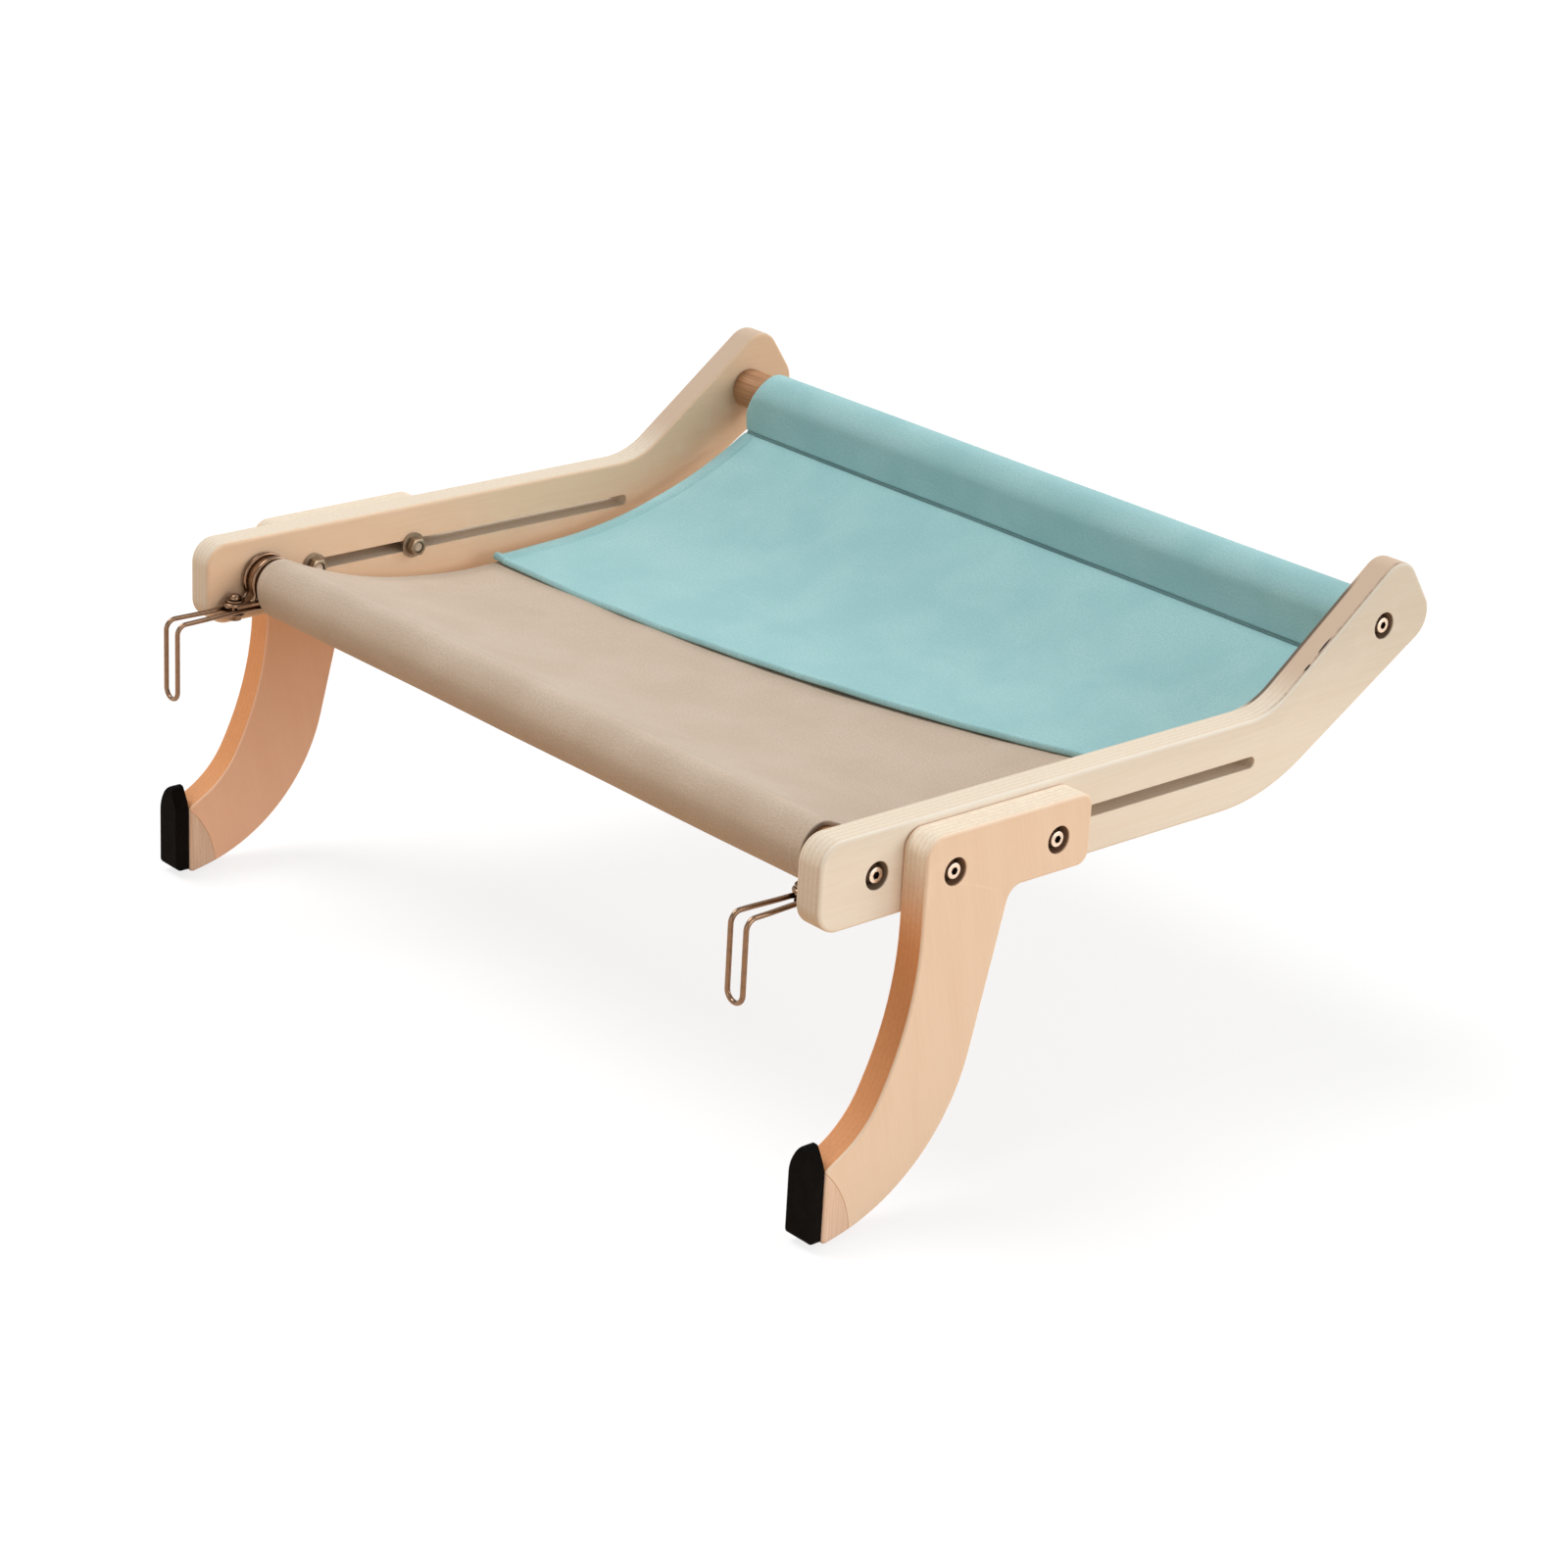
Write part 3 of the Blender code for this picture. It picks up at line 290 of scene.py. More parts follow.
class ShaderEffects:
    """The shader node groups that several finishes share, each made once."""

    def __init__(self) -> None:
        """Build every group."""
        self.grain = self._wood_grain()
        self.plies = self._plies()
        self.wear = self._edge_wear()
        self.weave = self._weave()
        self.mottle = self._mottle()

    def _wood_grain(self) -> Tree:
        """Fibres, soft figure and pores of a wood whose grain runs along the point's Y.

        Returns:
            The group, with outputs Fibre, Figure and Pore from 0 to 1.
        """
        graph, given, result = Graph.opened(
            "wood_grain", SHADER_TREE, POINT | floats("Fibre Width", "Fibre Length", "Figure Width"),
            floats("Fibre", "Figure", "Pore"))

        def streaks(across: Socket, along: Socket, detail: float, rough: float, warp: float = 0.0) -> Socket:
            """Noise that is drawn out along Y."""
            point = graph.vector("MULTIPLY", given["Point"], graph.joined(across, along, across))
            return graph.noise(point, 1.0, detail, rough, warp)

        across = graph.ratio(1.0, given["Fibre Width"])
        along = graph.ratio(1.0, given["Fibre Length"])
        broad = graph.ratio(1.0, given["Figure Width"])
        fibres = streaks(across, along, 3.0, 0.6)
        figure = streaks(broad, graph.ratio(along, 3.0), 2.0, 0.5, 0.6)
        pores = streaks(graph.times(across, 2.2), graph.times(along, 9.0), 1.0, 0.5)
        graph.feed(result["Fibre"], graph.remap(fibres, 0.3, 0.7))
        graph.feed(result["Figure"], graph.remap(figure, 0.3, 0.7))
        graph.feed(result["Pore"], graph.remap(pores, 0.66, 0.76))
        return graph.tree

    def _plies(self) -> Tree:
        """The glued layers of a board, counted from its middle plane.

        Returns:
            The group, with outputs Cross for end-grain layers, Glue for the thin glue lines and
            Inside for all that lies under the face veneers.
        """
        graph, given, result = Graph.opened(
            "plywood_layers", SHADER_TREE, floats("Depth", "Thickness", "Layers"),
            floats("Cross", "Glue", "Inside"))
        share = graph.ratio(given["Depth"], given["Thickness"])
        count = graph.times(graph.plus(share, 0.5), given["Layers"])
        half = graph.math("FRACT", graph.times(graph.math("FLOOR", count), 0.5))
        graph.feed(result["Cross"], graph.times(half, 2.0))
        line = graph.size(graph.minus(graph.math("FRACT", count), 0.5))
        graph.feed(result["Glue"], graph.remap(line, 0.44, 0.5))
        limit = graph.minus(0.5, graph.ratio(0.75, given["Layers"]))
        graph.feed(result["Inside"], graph.over(limit, graph.size(share)))
        return graph.tree

    def _edge_wear(self) -> Tree:
        """Rubbed edges: the outward corners, broken up.

        Returns:
            The group, with the output Wear from 0 to 1.
        """
        graph, given, result = Graph.opened(
            "edge_wear", SHADER_TREE, POINT | floats("Patch", "Amount"), floats("Wear"))
        corner = graph.remap(graph.node("ShaderNodeNewGeometry").outputs["Pointiness"], 0.52, 0.60)
        patches = graph.noise(given["Point"], graph.ratio(1.0, given["Patch"]), 3.0)
        broken = graph.times(corner, graph.remap(patches, 0.42, 0.62))
        graph.feed(result["Wear"], graph.math("MULTIPLY", broken, given["Amount"], clamp=True))
        return graph.tree

    def _weave(self) -> Tree:
        """Plain weave of threads on a point in metres, across and along the cloth.

        Returns:
            The group, with outputs Height, Shade and Slub.
        """
        graph, given, result = Graph.opened(
            "cloth_weave", SHADER_TREE, POINT | floats("Pitch"), floats("Height", "Shade", "Slub"))
        warp = graph.node("ShaderNodeTexNoise", {"Vector": given["Point"], "Scale": 55.0, "Detail": 1.0})
        bend = graph.vector("MULTIPLY", graph.vector("SUBTRACT", warp.outputs["Color"], (0.5, 0.5, 0.5)),
                            (0.0012, 0.0012, 0.0))
        point = graph.vector("ADD", given["Point"], bend)
        turns = graph.ratio(math.pi, given["Pitch"])
        across, along, _ = graph.parted(point)
        woven = graph.times(graph.math("SINE", graph.times(across, turns)),
                            graph.math("SINE", graph.times(along, turns)))
        graph.feed(result["Height"], graph.size(woven))
        graph.feed(result["Shade"], graph.remap(woven, -1.0, 1.0, smooth=False))
        slubs = [graph.noise(graph.vector("MULTIPLY", point, stretch), 1.0, 1.0)
                 for stretch in ((60.0, 1500.0, 1.0), (1500.0, 60.0, 1.0))]
        graph.feed(result["Slub"], graph.remap(graph.greater(*slubs), 0.55, 0.75))
        return graph.tree

    def _mottle(self) -> Tree:
        """Soft cloudy unevenness with a fine nap over it.

        Returns:
            The group, with outputs Cloud and Nap from 0 to 1.
        """
        graph, given, result = Graph.opened(
            "cloth_mottle", SHADER_TREE, POINT | floats("Patch"), floats("Cloud", "Nap"))
        clouds = graph.noise(given["Point"], graph.ratio(1.0, given["Patch"]), 3.0, 0.5, 0.4)
        nap = graph.noise(given["Point"], 900.0, 2.0, 0.7)
        graph.feed(result["Cloud"], graph.remap(clouds, 0.3, 0.7))
        graph.feed(result["Nap"], graph.remap(nap, 0.3, 0.7))
        return graph.tree


EFFECTS = ShaderEffects()


class Dressing:
    """A new material with its Principled shader."""

    def __init__(self, name: str, **constants: float) -> None:
        """Start the material.

        Args:
            name: Its name.
            **constants: The shader's plain values by name, with underscores for spaces.
        """
        self.material = bpy.data.materials.new(name)
        self.material.use_nodes = True
        self.shader = self.material.node_tree.nodes["Principled BSDF"]
        self.graph = Graph(self.material.node_tree)
        for key, value in constants.items():
            self.shader.inputs[key.replace("_", " ")].default_value = value

    def feed(self, **values: Socket) -> bpy.types.Material:
        """Link the shader's inputs by name, with underscores for spaces, and return the material."""
        for key, value in values.items():
            self.graph.feed(self.shader.inputs[key.replace("_", " ")], value)
        return self.material


class BoardPoint:
    """What a board's material knows of each point of its surface."""

    def __init__(self, graph: Graph, middle_x: float) -> None:
        """Read the point's place, its facing, and its depth in the board.

        Args:
            graph: The material's graph.
            middle_x: How far out the board's middle plane is.
        """
        coordinates = graph.node("ShaderNodeTexCoord")
        self.place = coordinates.outputs["Object"]
        self.x, self.y, self.z = graph.parted(self.place)
        self.facing_x, _, self.facing_z = graph.parted(coordinates.outputs["Normal"])
        self.depth = graph.minus(graph.size(self.x), middle_x)
        self.right = graph.over(self.x, 0.0)


@dataclass(frozen=True)
class TailMarks:
    """Painted shade on the upper edge of the right rail's tail: a shadow along the inner arris, a broken dark
    line along the outer one, and the shade inside small open voids.
    """

    start_z: float
    voids: tuple[Corner, ...]
    void_half_height: float = 0.0007
    inner_depths: tuple[float, float] = (-0.0050, -0.0062)
    inner_strength: float = 0.92
    inner_end_z: tuple[float, float] = (0.112, 0.102)
    outer_depths: tuple[float, float] = (0.0060, 0.0068)
    outer_limits: tuple[float, float] = (0.0082, 0.0074)
    outer_strengths: tuple[float, float] = (0.1, 0.42)
    wander: float = 0.0016
    start_blend: tuple[float, float] = (-0.0020, 0.0015)

    def void(self, graph: Graph, at: BoardPoint) -> Socket:
        """Mark the voids, whose insides are painted dark as shade.

        Args:
            graph: The material's graph.
            at: The surface's point.

        Returns:
            1 inside them, 0 elsewhere.
        """
        found: object = 0.0
        for y, layer, half in self.voids:
            along = graph.ratio(graph.minus(at.y, y), half)
            across = graph.ratio(graph.minus(at.depth, layer), self.void_half_height)
            away = graph.plus(graph.math("POWER", along, 2.0), graph.math("POWER", across, 2.0))
            found = graph.greater(found, graph.remap(away, 1.3, 0.6))
        return graph.times(graph.times(found, at.right), graph.over(at.z, self.start_z))

    def arris(self, graph: Graph, at: BoardPoint) -> Socket:
        """Mark the dark arrises: a painted shadow, strong, along the inside next to the cloth, and a broken
        dark line on the outside.

        Args:
            graph: The material's graph.
            at: The surface's point.

        Returns:
            How dark each place is, from 0 to 1.
        """
        inner = graph.times(graph.remap(at.depth, *self.inner_depths), self.inner_strength)
        inner = graph.times(inner, graph.remap(at.z, *self.inner_end_z))
        ragged = graph.noise(graph.joined(at.depth, at.y), 160.0, 4.0, 0.7)
        bent = graph.plus(at.depth, graph.times(graph.minus(ragged, 0.5), self.wander))
        band = graph.times(graph.remap(bent, *self.outer_depths), graph.remap(bent, *self.outer_limits))
        outer = graph.times(band, graph.remap(ragged, 0.38, 0.62, *self.outer_strengths))
        low, high = (self.start_z + blend for blend in self.start_blend)
        upper = graph.times(graph.remap(at.facing_z, 0.1, 0.4), graph.remap(at.z, low, high))
        return graph.times(graph.greater(inner, outer), graph.times(upper, at.right))


@dataclass(frozen=True)
class Plywood:
    """A birch plywood finish: face veneer outside and inside, and layered edges."""

    name: str
    slot: str
    outer: RGB
    # inner: the inner faces' tone, painted light and shade
    inner: RGB
    fibre: RGB
    layer: RGB
    cross_layer: RGB
    glue: RGB
    middle_x: float
    high_layer: RGB
    high_cross_layer: RGB
    holes: tuple[tuple[float, float], ...]
    thickness: float = 0.018
    layers: float = 11.0
    veneer: float = 0.0009
    hole_radius: float = 0.0081
    slot_ends: tuple[float, float] | None = None
    slot_z: float = 0.025
    slot_half: float = 0.0037
    tail: TailMarks | None = None
    tail_edge: RGB = (0.55, 0.41, 0.30)
    tail_veneer: RGB = (0.82, 0.83, 0.82)
    roughness: float = 0.52
    grain_turn: float = math.radians(-1.5)
    fibre_strength: float = 0.12
    figure_strength: float = 0.10
    layer_strength: float = 0.16

    def hollow(self, graph: Graph, at: BoardPoint) -> Socket:
        """Mark the insides of the counterbores and the slot, where shade is painted dark.

        Args:
            graph: The material's graph.
            at: The surface's point.

        Returns:
            1 inside them, 0 elsewhere.
        """
        found: object = 0.0
        for y, z in self.holes:
            away = graph.vector("SUBTRACT", graph.joined(at.y, at.z), (y, z, 0.0))
            length = graph.node("ShaderNodeVectorMath", {0: away}, operation="LENGTH").outputs["Value"]
            found = graph.greater(found, graph.over(self.hole_radius, length))
        if self.slot_ends:
            front, rear = self.slot_ends
            slot = graph.over(self.slot_half, graph.size(graph.minus(at.z, self.slot_z)))
            slot = graph.times(graph.times(slot, graph.over(at.y, front)), graph.over(rear, at.y))
            found = graph.greater(found, graph.times(slot, 0.08))
        return graph.times(found, graph.over(self.thickness / 2 - self.veneer, at.depth))

    def face(self, graph: Graph, at: BoardPoint, grain: Sockets) -> Socket:
        """Colour the face veneers; the inner faces' own tone is painted light and shade, fitted to how the
        light falls on them.

        Args:
            graph: The material's graph.
            at: The surface's point.
            grain: The wood grain.

        Returns:
            The colour.
        """
        # painted light and shade: inner faces take their own tone, lighter on the legs and warmer on the
        # rails
        inward = graph.times(graph.math("SIGN", at.x), at.facing_x)
        color = graph.blend(graph.remap(inward, 0.2, -0.2), self.outer, self.inner)
        color = graph.blend(graph.times(grain["Fibre"], self.fibre_strength), color, self.fibre, "MULTIPLY")
        color = graph.blend(graph.times(grain["Figure"], self.figure_strength), color, self.fibre, "MULTIPLY")
        color = graph.blend(graph.times(grain["Pore"], 0.07), color, self.glue)
        # painted shade: the face veneer darkens towards the tail's raised end
        if self.tail:
            start = self.tail.start_z
            tail = graph.remap(at.z, start - 0.03, start + 0.04)
            color = graph.blend(tail, color, self.tail_veneer, "MULTIPLY")
        return color

    def edge(self, graph: Graph, at: BoardPoint, plies: Sockets) -> Socket:
        """Colour the layered edges, which are paler higher up, as painted light falling from above.

        Args:
            graph: The material's graph.
            at: The surface's point.
            plies: The board's layers.

        Returns:
            The colour.
        """
        # painted light: the edges grow paler towards the top, where light falls
        rise = graph.remap(at.z, -0.020, 0.044)
        color = graph.blend(plies["Cross"], graph.blend(rise, self.layer, self.high_layer),
                            graph.blend(rise, self.cross_layer, self.high_cross_layer))
        dots = graph.noise(graph.vector("MULTIPLY", at.place, (900.0, 420.0, 420.0)), 1.0, 2.0, 0.6)
        color = graph.blend(graph.times(graph.remap(dots, 0.35, 0.65), 0.14), color, self.glue)
        color = graph.blend(graph.times(plies["Glue"], self.layer_strength), color, self.glue)
        if self.tail:
            start = self.tail.start_z
            color = graph.blend(graph.remap(at.z, start, start + 0.02), color, self.tail_edge)
        return color

    def build(self) -> bpy.types.Material:
        """Make the material.

        Returns:
            The finished material.
        """
        dressing = Dressing(self.name, Specular_IOR_Level=0.35)
        graph = dressing.graph
        at = BoardPoint(graph, self.middle_x)
        grained = graph.turned(at.place, (self.grain_turn, 0.0, 0.0))
        grain = graph.group(EFFECTS.grain, Point=grained, Fibre_Width=0.0011, Fibre_Length=0.045,
                            Figure_Width=0.014)
        plies = graph.group(EFFECTS.plies, Depth=at.depth, Thickness=self.thickness, Layers=self.layers)
        wear = graph.group(EFFECTS.wear, Point=at.place, Patch=0.014, Amount=0.35)
        on_edge = graph.times(graph.remap(graph.size(at.facing_x), 0.97, 0.80), plies["Inside"])
        color = graph.blend(on_edge, self.face(graph, at, grain), self.edge(graph, at, plies))
        color = graph.blend(wear["Wear"], color, scaled(self.outer, 1.12))
        # painted shade: the counterbores' insides, and faintly the slot's, are darkened
        color = graph.blend(graph.times(self.hollow(graph, at), 0.8), color, scaled(self.glue, 0.35))
        if self.tail:
            # painted shadow along the tail's inner arris, and a broken dark line along its outer arris
            color = graph.blend(self.tail.arris(graph, at), color, scaled(self.glue, 0.14))
            # painted shade inside the small voids of the tail's edge
            void = graph.times(self.tail.void(graph, at), on_edge)
            color = graph.blend(void, color, scaled(self.glue, 0.03))
        rough = graph.plus(graph.times(grain["Fibre"], 0.10), self.roughness)
        height = graph.plus(graph.times(grain["Fibre"], 0.4), graph.times(plies["Glue"], -0.3))
        return dressing.feed(Base_Color=color, Roughness=graph.plus(rough, graph.times(on_edge, 0.12)),
                             Normal=graph.bump(height, 0.12, 0.0004))


@dataclass(frozen=True)
class SolidWood:
    """A solid wood finish, its grain along X for a turned rod or along Z for a block."""

    name: str
    slot: str
    pale: RGB
    deep: RGB
    turn: Corner
    fibre_width: float = 0.0014
    roughness: float = 0.6

    def build(self) -> bpy.types.Material:
        """Make the material.

        Returns:
            The finished material.
        """
        dressing = Dressing(self.name, Specular_IOR_Level=0.3)
        graph = dressing.graph
        point = graph.node("ShaderNodeTexCoord").outputs["Object"]
        grain = graph.group(EFFECTS.grain, Point=graph.turned(point, self.turn), Fibre_Width=self.fibre_width,
                            Fibre_Length=0.03, Figure_Width=0.006)
        wear = graph.group(EFFECTS.wear, Point=point, Patch=0.01, Amount=0.3)
        mixed = graph.plus(graph.times(grain["Fibre"], 0.55), graph.times(grain["Figure"], 0.35))
        color = graph.blend(mixed, self.pale, self.deep)
        color = graph.blend(graph.times(grain["Pore"], 0.3), color, scaled(self.deep, 0.55))
        color = graph.blend(wear["Wear"], color, self.pale)
        rough = graph.plus(graph.times(grain["Fibre"], 0.12), self.roughness)
        bent = graph.bump(grain["Fibre"], 0.2, 0.0004)
        return dressing.feed(Base_Color=color, Roughness=rough, Normal=bent)


@dataclass(frozen=True)
class Cloth:
    """A brushed woven cloth, laid out by the piece's own map in metres."""

    name: str
    slot: str
    base: RGB
    light: RGB
    shade: RGB
    pitch: float = 0.0007
    patch: float = 0.045
    cloud_strength: float = 0.5
    nap_strength: float = 0.28
    fleck_scale: float = 760.0
    fleck_strength: float = 0.45
    thread_strength: float = 0.14
    slub_strength: float = 0.16
    crease_strength: float = 0.78

    def build(self) -> bpy.types.Material:
        """Make the material.

        Returns:
            The finished material.
        """
        dressing = Dressing(self.name, Sheen_Weight=0.12, Sheen_Roughness=0.5, Specular_IOR_Level=0.15)
        graph = dressing.graph
        point = graph.node("ShaderNodeUVMap", uv_map="cloth").outputs[0]
        weave = graph.group(EFFECTS.weave, Point=point, Pitch=self.pitch)
        mottle = graph.group(EFFECTS.mottle, Point=point, Patch=self.patch)
        fleck = graph.remap(graph.noise(point, self.fleck_scale, 3.0, 0.75), 0.36, 0.64)
        color = graph.blend(graph.times(mottle["Cloud"], self.cloud_strength), self.base, self.light)
        color = graph.blend(graph.times(mottle["Nap"], self.nap_strength), color, self.shade)
        color = graph.blend(graph.times(fleck, self.fleck_strength), color, self.shade)
        color = graph.blend(graph.times(weave["Shade"], self.thread_strength), color, self.shade)
        color = graph.blend(graph.times(weave["Slub"], self.slub_strength), color, self.light)
        # painted shade: the crease layer darkens seams, hem grooves and the sleeve's open mouth
        crease = graph.times(graph.attribute("crease"), self.crease_strength)
        color = graph.blend(crease, color, scaled(self.shade, 0.28))
        height = graph.plus(graph.times(weave["Height"], 0.6), graph.times(mottle["Nap"], 0.5))
        return dressing.feed(Base_Color=color, Roughness=graph.remap(mottle["Nap"], 0.0, 1.0, 0.78, 0.94),
                             Normal=graph.bump(height, 0.25, 0.0003))


@dataclass(frozen=True)
class Metal:
    """A plated or bare metal with fine drawing marks, dulled spots and painted shade in its sockets."""

    name: str
    slot: str
    bright: RGB
    dull: RGB
    grime: RGB
    roughness: float
    spread: float = 0.14
    dulled: float = 0.5
    coat: float = 0.0

    def build(self) -> bpy.types.Material:
        """Make the material.

        Returns:
            The finished material.
        """
        dressing = Dressing(self.name, Metallic=1.0, Coat_Weight=self.coat, Coat_Roughness=0.08)
        graph = dressing.graph
        point = graph.node("ShaderNodeTexCoord").outputs["Object"]
        spots = graph.noise(point, 260.0, 4.0, 0.6)
        marks = graph.noise(graph.vector("MULTIPLY", point, (2400.0, 500.0, 2400.0)), 1.0, 2.0, 0.6)
        wear = graph.group(EFFECTS.wear, Point=point, Patch=0.003, Amount=0.6)
        color = graph.blend(graph.times(graph.remap(spots, 0.4, 0.75), self.dulled), self.bright, self.dull)
        color = graph.blend(wear["Wear"], color, scaled(self.bright, 1.25))
        # painted shade: the marked socket faces are darkened
        color = graph.blend(graph.times(graph.attribute("recess"), 0.92), color, self.grime)
        rough = graph.plus(graph.times(spots, self.spread), self.roughness)
        return dressing.feed(Base_Color=color, Roughness=rough, Normal=graph.bump(marks, 0.05, 0.0001))


@dataclass(frozen=True)
class PadFoam:
    """Matt black cellular rubber."""

    name: str
    slot: str
    base: RGB
    grey: RGB

    def build(self) -> bpy.types.Material:
        """Make the material.

        Returns:
            The finished material.
        """
        dressing = Dressing(self.name, Specular_IOR_Level=0.05)
        graph = dressing.graph
        point = graph.node("ShaderNodeTexCoord").outputs["Object"]
        cells = graph.node("ShaderNodeTexVoronoi", {"Vector": point, "Scale": 1400.0}).outputs["Distance"]
        scuff = graph.noise(point, 120.0, 4.0, 0.6)
        wear = graph.group(EFFECTS.wear, Point=point, Patch=0.006, Amount=0.5)
        color = graph.blend(graph.times(graph.remap(scuff, 0.5, 0.75), 0.4), self.base, self.grey)
        color = graph.blend(wear["Wear"], color, self.grey)
        return dressing.feed(Base_Color=color, Roughness=graph.remap(scuff, 0.3, 0.8, 0.8, 0.95),
                             Normal=graph.bump(cells, 0.4, 0.0003))


RAIL_PLYWOOD = Plywood(
    "rail_birch_plywood", "rail_birch", outer=tone(235, 228, 214), inner=tone(232, 201, 170),
    fibre=tone(232, 210, 182), layer=tone(219, 204, 184), cross_layer=tone(215, 198, 176),
    glue=tone(186, 152, 120), middle_x=0.271, high_layer=tone(222, 209, 190),
    high_cross_layer=tone(217, 202, 181), holes=((0.0386, 0.025), (0.415288, 0.084432)),
    slot_ends=(0.0712, 0.3177), layer_strength=0.08,
    tail=TailMarks(0.052, voids=((0.3693, 0.0062, 0.0048), (0.3560, 0.0068, 0.0022))))
LEG_PLYWOOD = Plywood(
    "leg_warm_plywood", "leg_wood", outer=tone(234, 211, 186), inner=tone(246, 202, 171),
    fibre=tone(230, 196, 162), layer=tone(222, 155, 103), cross_layer=tone(220, 152, 100),
    glue=tone(170, 112, 76), middle_x=0.2893, high_layer=tone(229, 216, 195),
    high_cross_layer=tone(224, 208, 185), holes=((0.0753, 0.025), (0.1487, 0.025)),
    grain_turn=math.radians(78), fibre_strength=0.07, figure_strength=0.08, layer_strength=0.04)
BLOCK_WOOD = SolidWood(
    "foot_block_wood", "block_wood", pale=tone(234, 208, 186), deep=tone(216, 180, 152),
    turn=(math.radians(88), 0.0, 0.0), fibre_width=0.0011)
BLOCK_GLUE = SolidWood(
    "foot_block_glue", "block_wood", pale=tone(222, 172, 116), deep=tone(206, 154, 98), turn=(0.0, 0.0, 0.0))
DOWEL_WOOD = SolidWood(
    "dowel_beech", "dowel_wood", pale=tone(176, 132, 94), deep=tone(140, 98, 66),
    turn=(0.0, 0.0, math.radians(90)))
BEIGE_CLOTH = Cloth(
    "beige_brushed_cloth", "beige_cloth", base=tone(195, 177, 158), light=tone(213, 198, 181),
    shade=tone(168, 147, 126), cloud_strength=0.42)
TEAL_CLOTH = Cloth(
    "teal_brushed_cloth", "teal_cloth", base=tone(154, 195, 197), light=tone(184, 217, 216),
    shade=tone(130, 175, 178), patch=0.05, cloud_strength=0.45)
TEAL_THREAD = Cloth(
    "teal_thread", "teal_cloth", base=tone(150, 191, 193), light=tone(168, 204, 204),
    shade=tone(131, 173, 176))
BEIGE_THREAD = Cloth(
    "beige_thread", "beige_cloth", base=tone(192, 173, 152), light=tone(204, 187, 166),
    shade=tone(170, 149, 127))
NICKEL = Metal("warm_nickel", "nickel", bright=tone(118, 90, 66), dull=tone(86, 62, 42),
               grime=tone(60, 44, 32), roughness=0.14, spread=0.05, coat=0.6)
BOLT_STEEL = Metal("bolt_steel", "dark_steel", bright=tone(210, 199, 187), dull=tone(166, 150, 134),
                   grime=tone(54, 40, 30), roughness=0.22)
# the head washers are real, but their near-black tone is painted shade that darkens the counterbores round
# the screw heads
SHADED_WASHER_STEEL = Metal("washer_steel", "dark_steel", bright=tone(72, 52, 38), dull=tone(48, 34, 26),
                   grime=tone(30, 22, 16), roughness=0.5)
NUT_STEEL = Metal("nut_steel", "dark_steel", bright=tone(150, 132, 112), dull=tone(112, 94, 76),
                  grime=tone(40, 30, 22), roughness=0.36)
BRASS = Metal("insert_brass", "brass", bright=tone(212, 180, 110), dull=tone(170, 138, 80),
              grime=tone(90, 66, 34), roughness=0.3)
PAD_RUBBER = PadFoam("black_pad_rubber", "black_pad", base=(0.003, 0.0022, 0.0018),
                     grey=(0.012, 0.010, 0.009))

Finish = Plywood | SolidWood | Cloth | Metal | PadFoam
MADE: dict[str, bpy.types.Material] = {}


def material_of(finish: Finish) -> bpy.types.Material:
    """The material of a finish, made on first use."""
    if finish.name not in MADE:
        MADE[finish.name] = finish.build()
    return MADE[finish.name]


def linked(name: str, data: Mesh | bpy.types.Light | bpy.types.Camera) -> Object:
    """A new object of the data, in the scene."""
    made = bpy.data.objects.new(name, data)
    bpy.context.scene.collection.objects.link(made)
    return made


def show(name: str, mesh: Mesh, finish: Finish, body: str, replaces: Sequence[str] = ()) -> Object:
    """Put a finished mesh in the scene as a piece of the perch.

    Args:
        name: The piece's name.
        mesh: Its mesh, placed in the frame's axes.
        finish: Its finish.
        body: The body that it moves with.
        replaces: The CAD nodes that it stands for.

    Returns:
        The piece's object.
    """
    mesh.materials.clear()
    mesh.materials.append(material_of(finish))
    piece = linked(name, mesh)
    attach(piece, body)
    if replaces:
        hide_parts(*replaces)
    LOG.info("%s: %d faces on %s", name, len(mesh.polygons), body)
    return piece


def mesh_of(name: str, build: Callable[[BMesh], None], smooth: bool = True) -> Mesh:
    """Run a mesh builder and return its mesh with outward faces.

    Args:
        name: The mesh's name.
        build: What fills the bmesh.
        smooth: Whether to shade it smooth between its sharp edges.

    Returns:
        The mesh.
    """
    bm = bmesh.new()
    build(bm)
    bmesh.ops.recalc_face_normals(bm, faces=bm.faces)
    mesh = bpy.data.meshes.new(name)
    bm.to_mesh(mesh)
    bm.free()
    return smoothed(mesh) if smooth else mesh


def smoothed(mesh: Mesh) -> Mesh:
    """The mesh, shaded smooth between its sharp edges."""
    mesh.shade_smooth()
    mesh.set_sharp_from_angle(angle=SHARP)
    return mesh


def frozen(obj: Object, name: str) -> Mesh:
    """Apply an object's modifiers to a mesh of its own, and remove the object.

    Args:
        obj: The object with its modifiers.
        name: The new mesh's name.

    Returns:
        The plain mesh.
    """
    depsgraph = bpy.context.evaluated_depsgraph_get()
    depsgraph.update()
    mesh = bpy.data.meshes.new_from_object(obj.evaluated_get(depsgraph), preserve_all_data_layers=True,
                                           depsgraph=depsgraph)
    mesh.name = name
    bpy.data.objects.remove(obj, do_unlink=True)
    return mesh


